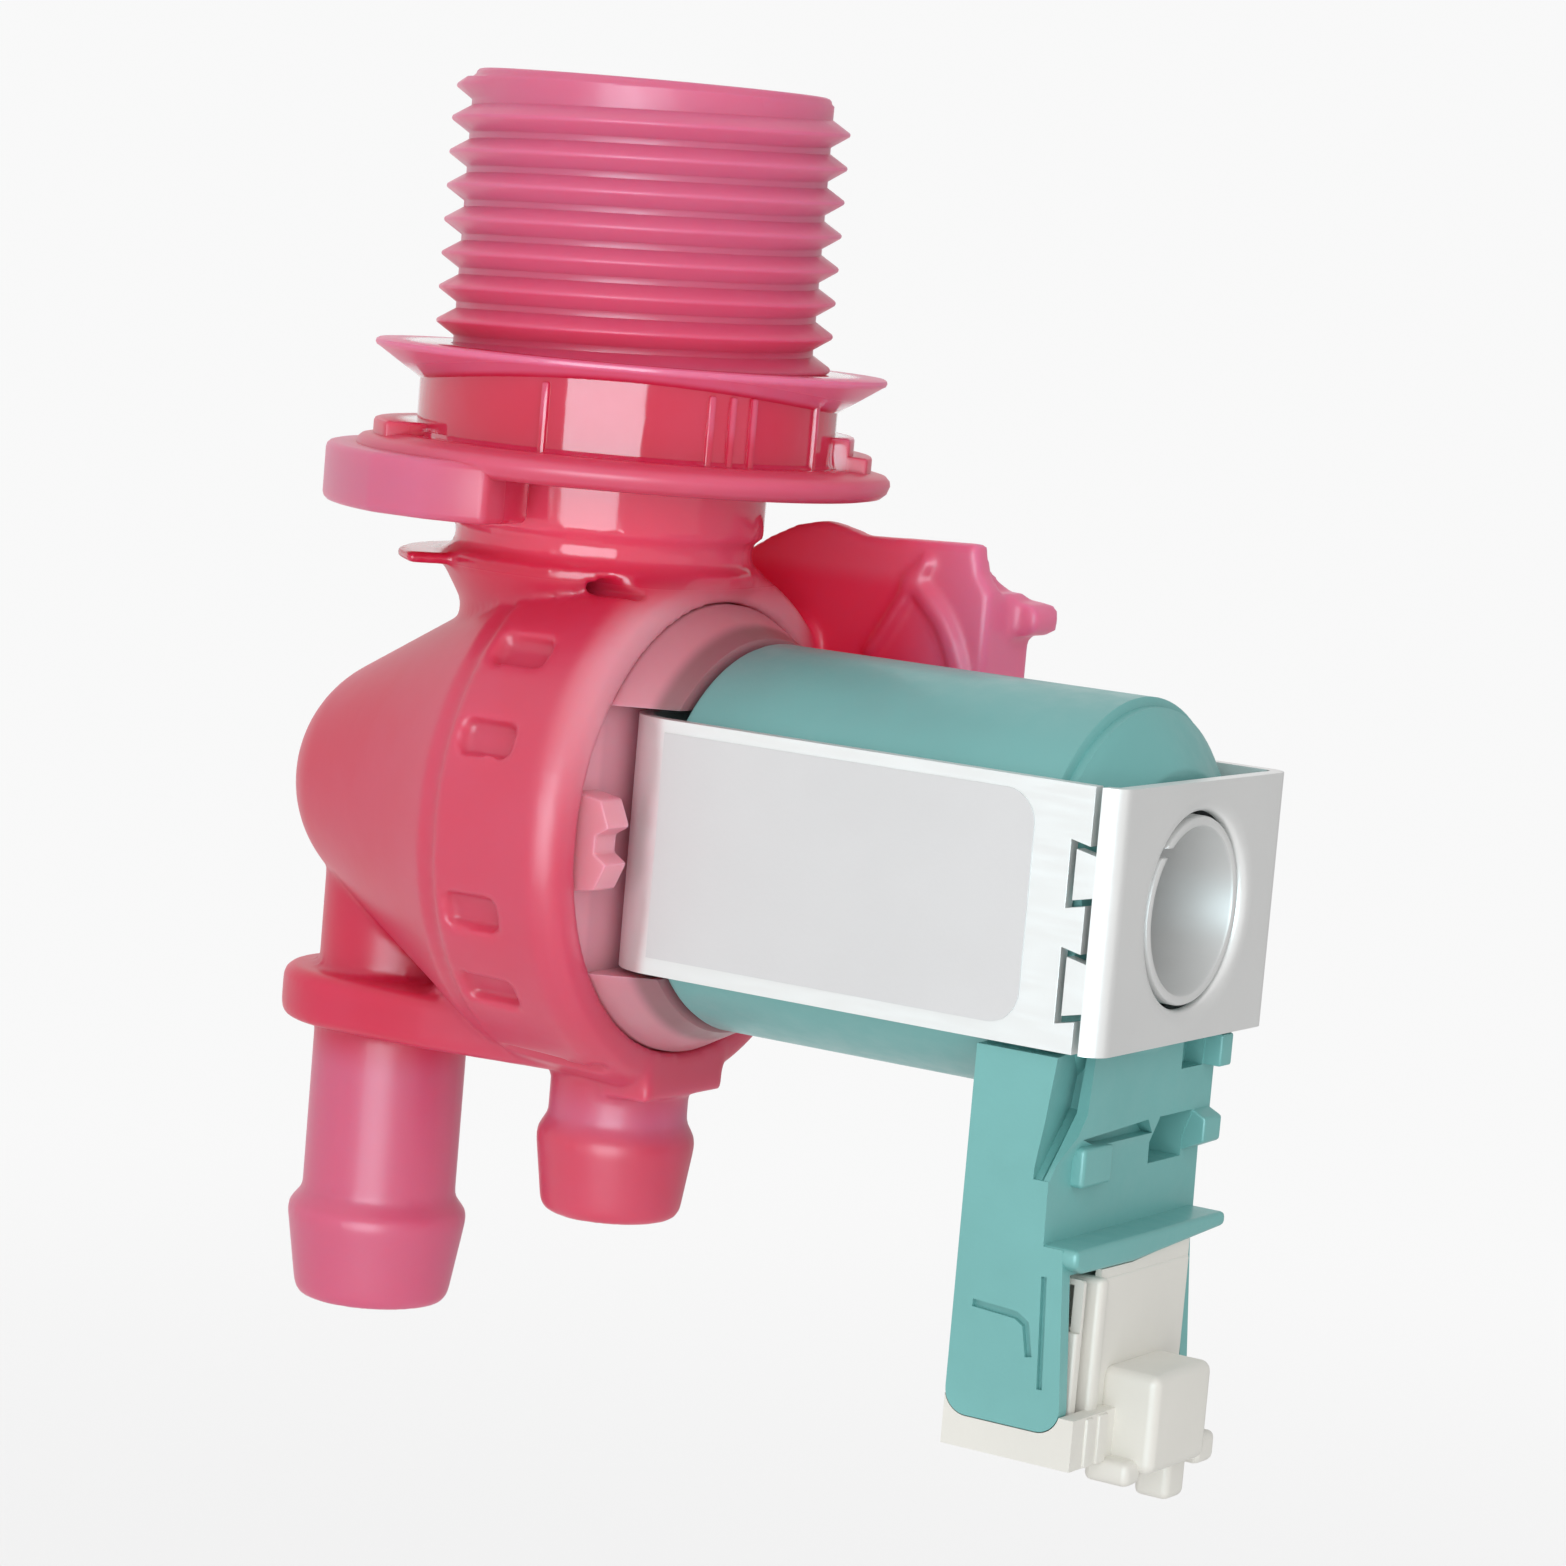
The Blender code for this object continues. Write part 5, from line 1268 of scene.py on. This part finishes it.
def grey_card():
    """A grey card that only reflections see, beyond the valve's coil end."""
    half = CARD_SIZE / 2
    bm = bmesh.new()
    bm.faces.new([bm.verts.new((CARD_DISTANCE, y, z)) for y, z in rectangle(-half, half, -half, half)])
    bmesh.ops.transform(bm, matrix=turn(CARD_AZIMUTH, "Z"), verts=bm.verts)
    card = meshed("grey_card", bm)
    card.visible_camera = card.visible_diffuse = card.visible_shadow = card.visible_transmission = False
    finish = Finish("grey_card")
    finish.set(
        Base_Color=(0, 0, 0), Emission_Color=(1, 1, 1), Emission_Strength=CARD_LEVEL, Specular_IOR_Level=0.0,
    )
    card.data.materials.append(finish.material)


def camera():
    """The camera at the photograph's viewing angle."""
    data = bpy.data.cameras.new("photo_camera")
    data.lens = CAMERA_LENS
    data.sensor_width = 36.0
    data.clip_start, data.clip_end = 0.01, 10.0
    eye = linked("photo_camera", data)
    place = Matrix.Translation((CAMERA_RIGHT, CAMERA_UP, CAMERA_DISTANCE))
    eye.matrix_world = outward(CAMERA_AZIMUTH, CAMERA_ELEVATION) @ place @ turn(CAMERA_ROLL, "Z")
    bpy.context.scene.camera = eye


class VALVE_PT_panel(Panel):
    """The valve's sizes, colours and pieces"""

    bl_label = "Inlet Valve"
    bl_idname = "VALVE_PT_panel"
    bl_space_type = "VIEW_3D"
    bl_region_type = "UI"
    bl_category = "Valve"

    def draw(self, context):
        layout = self.layout
        for group in (context.scene.valve_sizes, context.scene.valve_colours):
            for name in group.__annotations__:
                layout.prop(group, name)
        for operator in OPERATORS:
            layout.operator(operator.bl_idname)


OPERATORS = (
    VALVE_OT_thread, VALVE_OT_collar, VALVE_OT_chamber, VALVE_OT_retaining_ring, VALVE_OT_yoke,
    VALVE_OT_coil_cover, VALVE_OT_insert, VALVE_OT_inner_parts, VALVE_OT_stage,
)
CLASSES = (ValveSizes, ValveColours, *OPERATORS, VALVE_PT_panel)


def register():
    """Adds the classes and the scene's two groups of properties."""
    for item in CLASSES:
        bpy.utils.register_class(item)
    bpy.types.Scene.valve_sizes = PointerProperty(type=ValveSizes)
    bpy.types.Scene.valve_colours = PointerProperty(type=ValveColours)


def unregister():
    """Takes the classes and the properties away again."""
    del bpy.types.Scene.valve_colours
    del bpy.types.Scene.valve_sizes
    for item in reversed(CLASSES):
        bpy.utils.unregister_class(item)


def main():
    """Builds the dressed valve and its stage."""
    register()
    bpy.context.scene.view_settings.view_transform = "Standard"
    for operator in OPERATORS:
        group, name = operator.bl_idname.split(".")
        getattr(getattr(bpy.ops, group), name)()


if __name__ == "__main__":
    main()
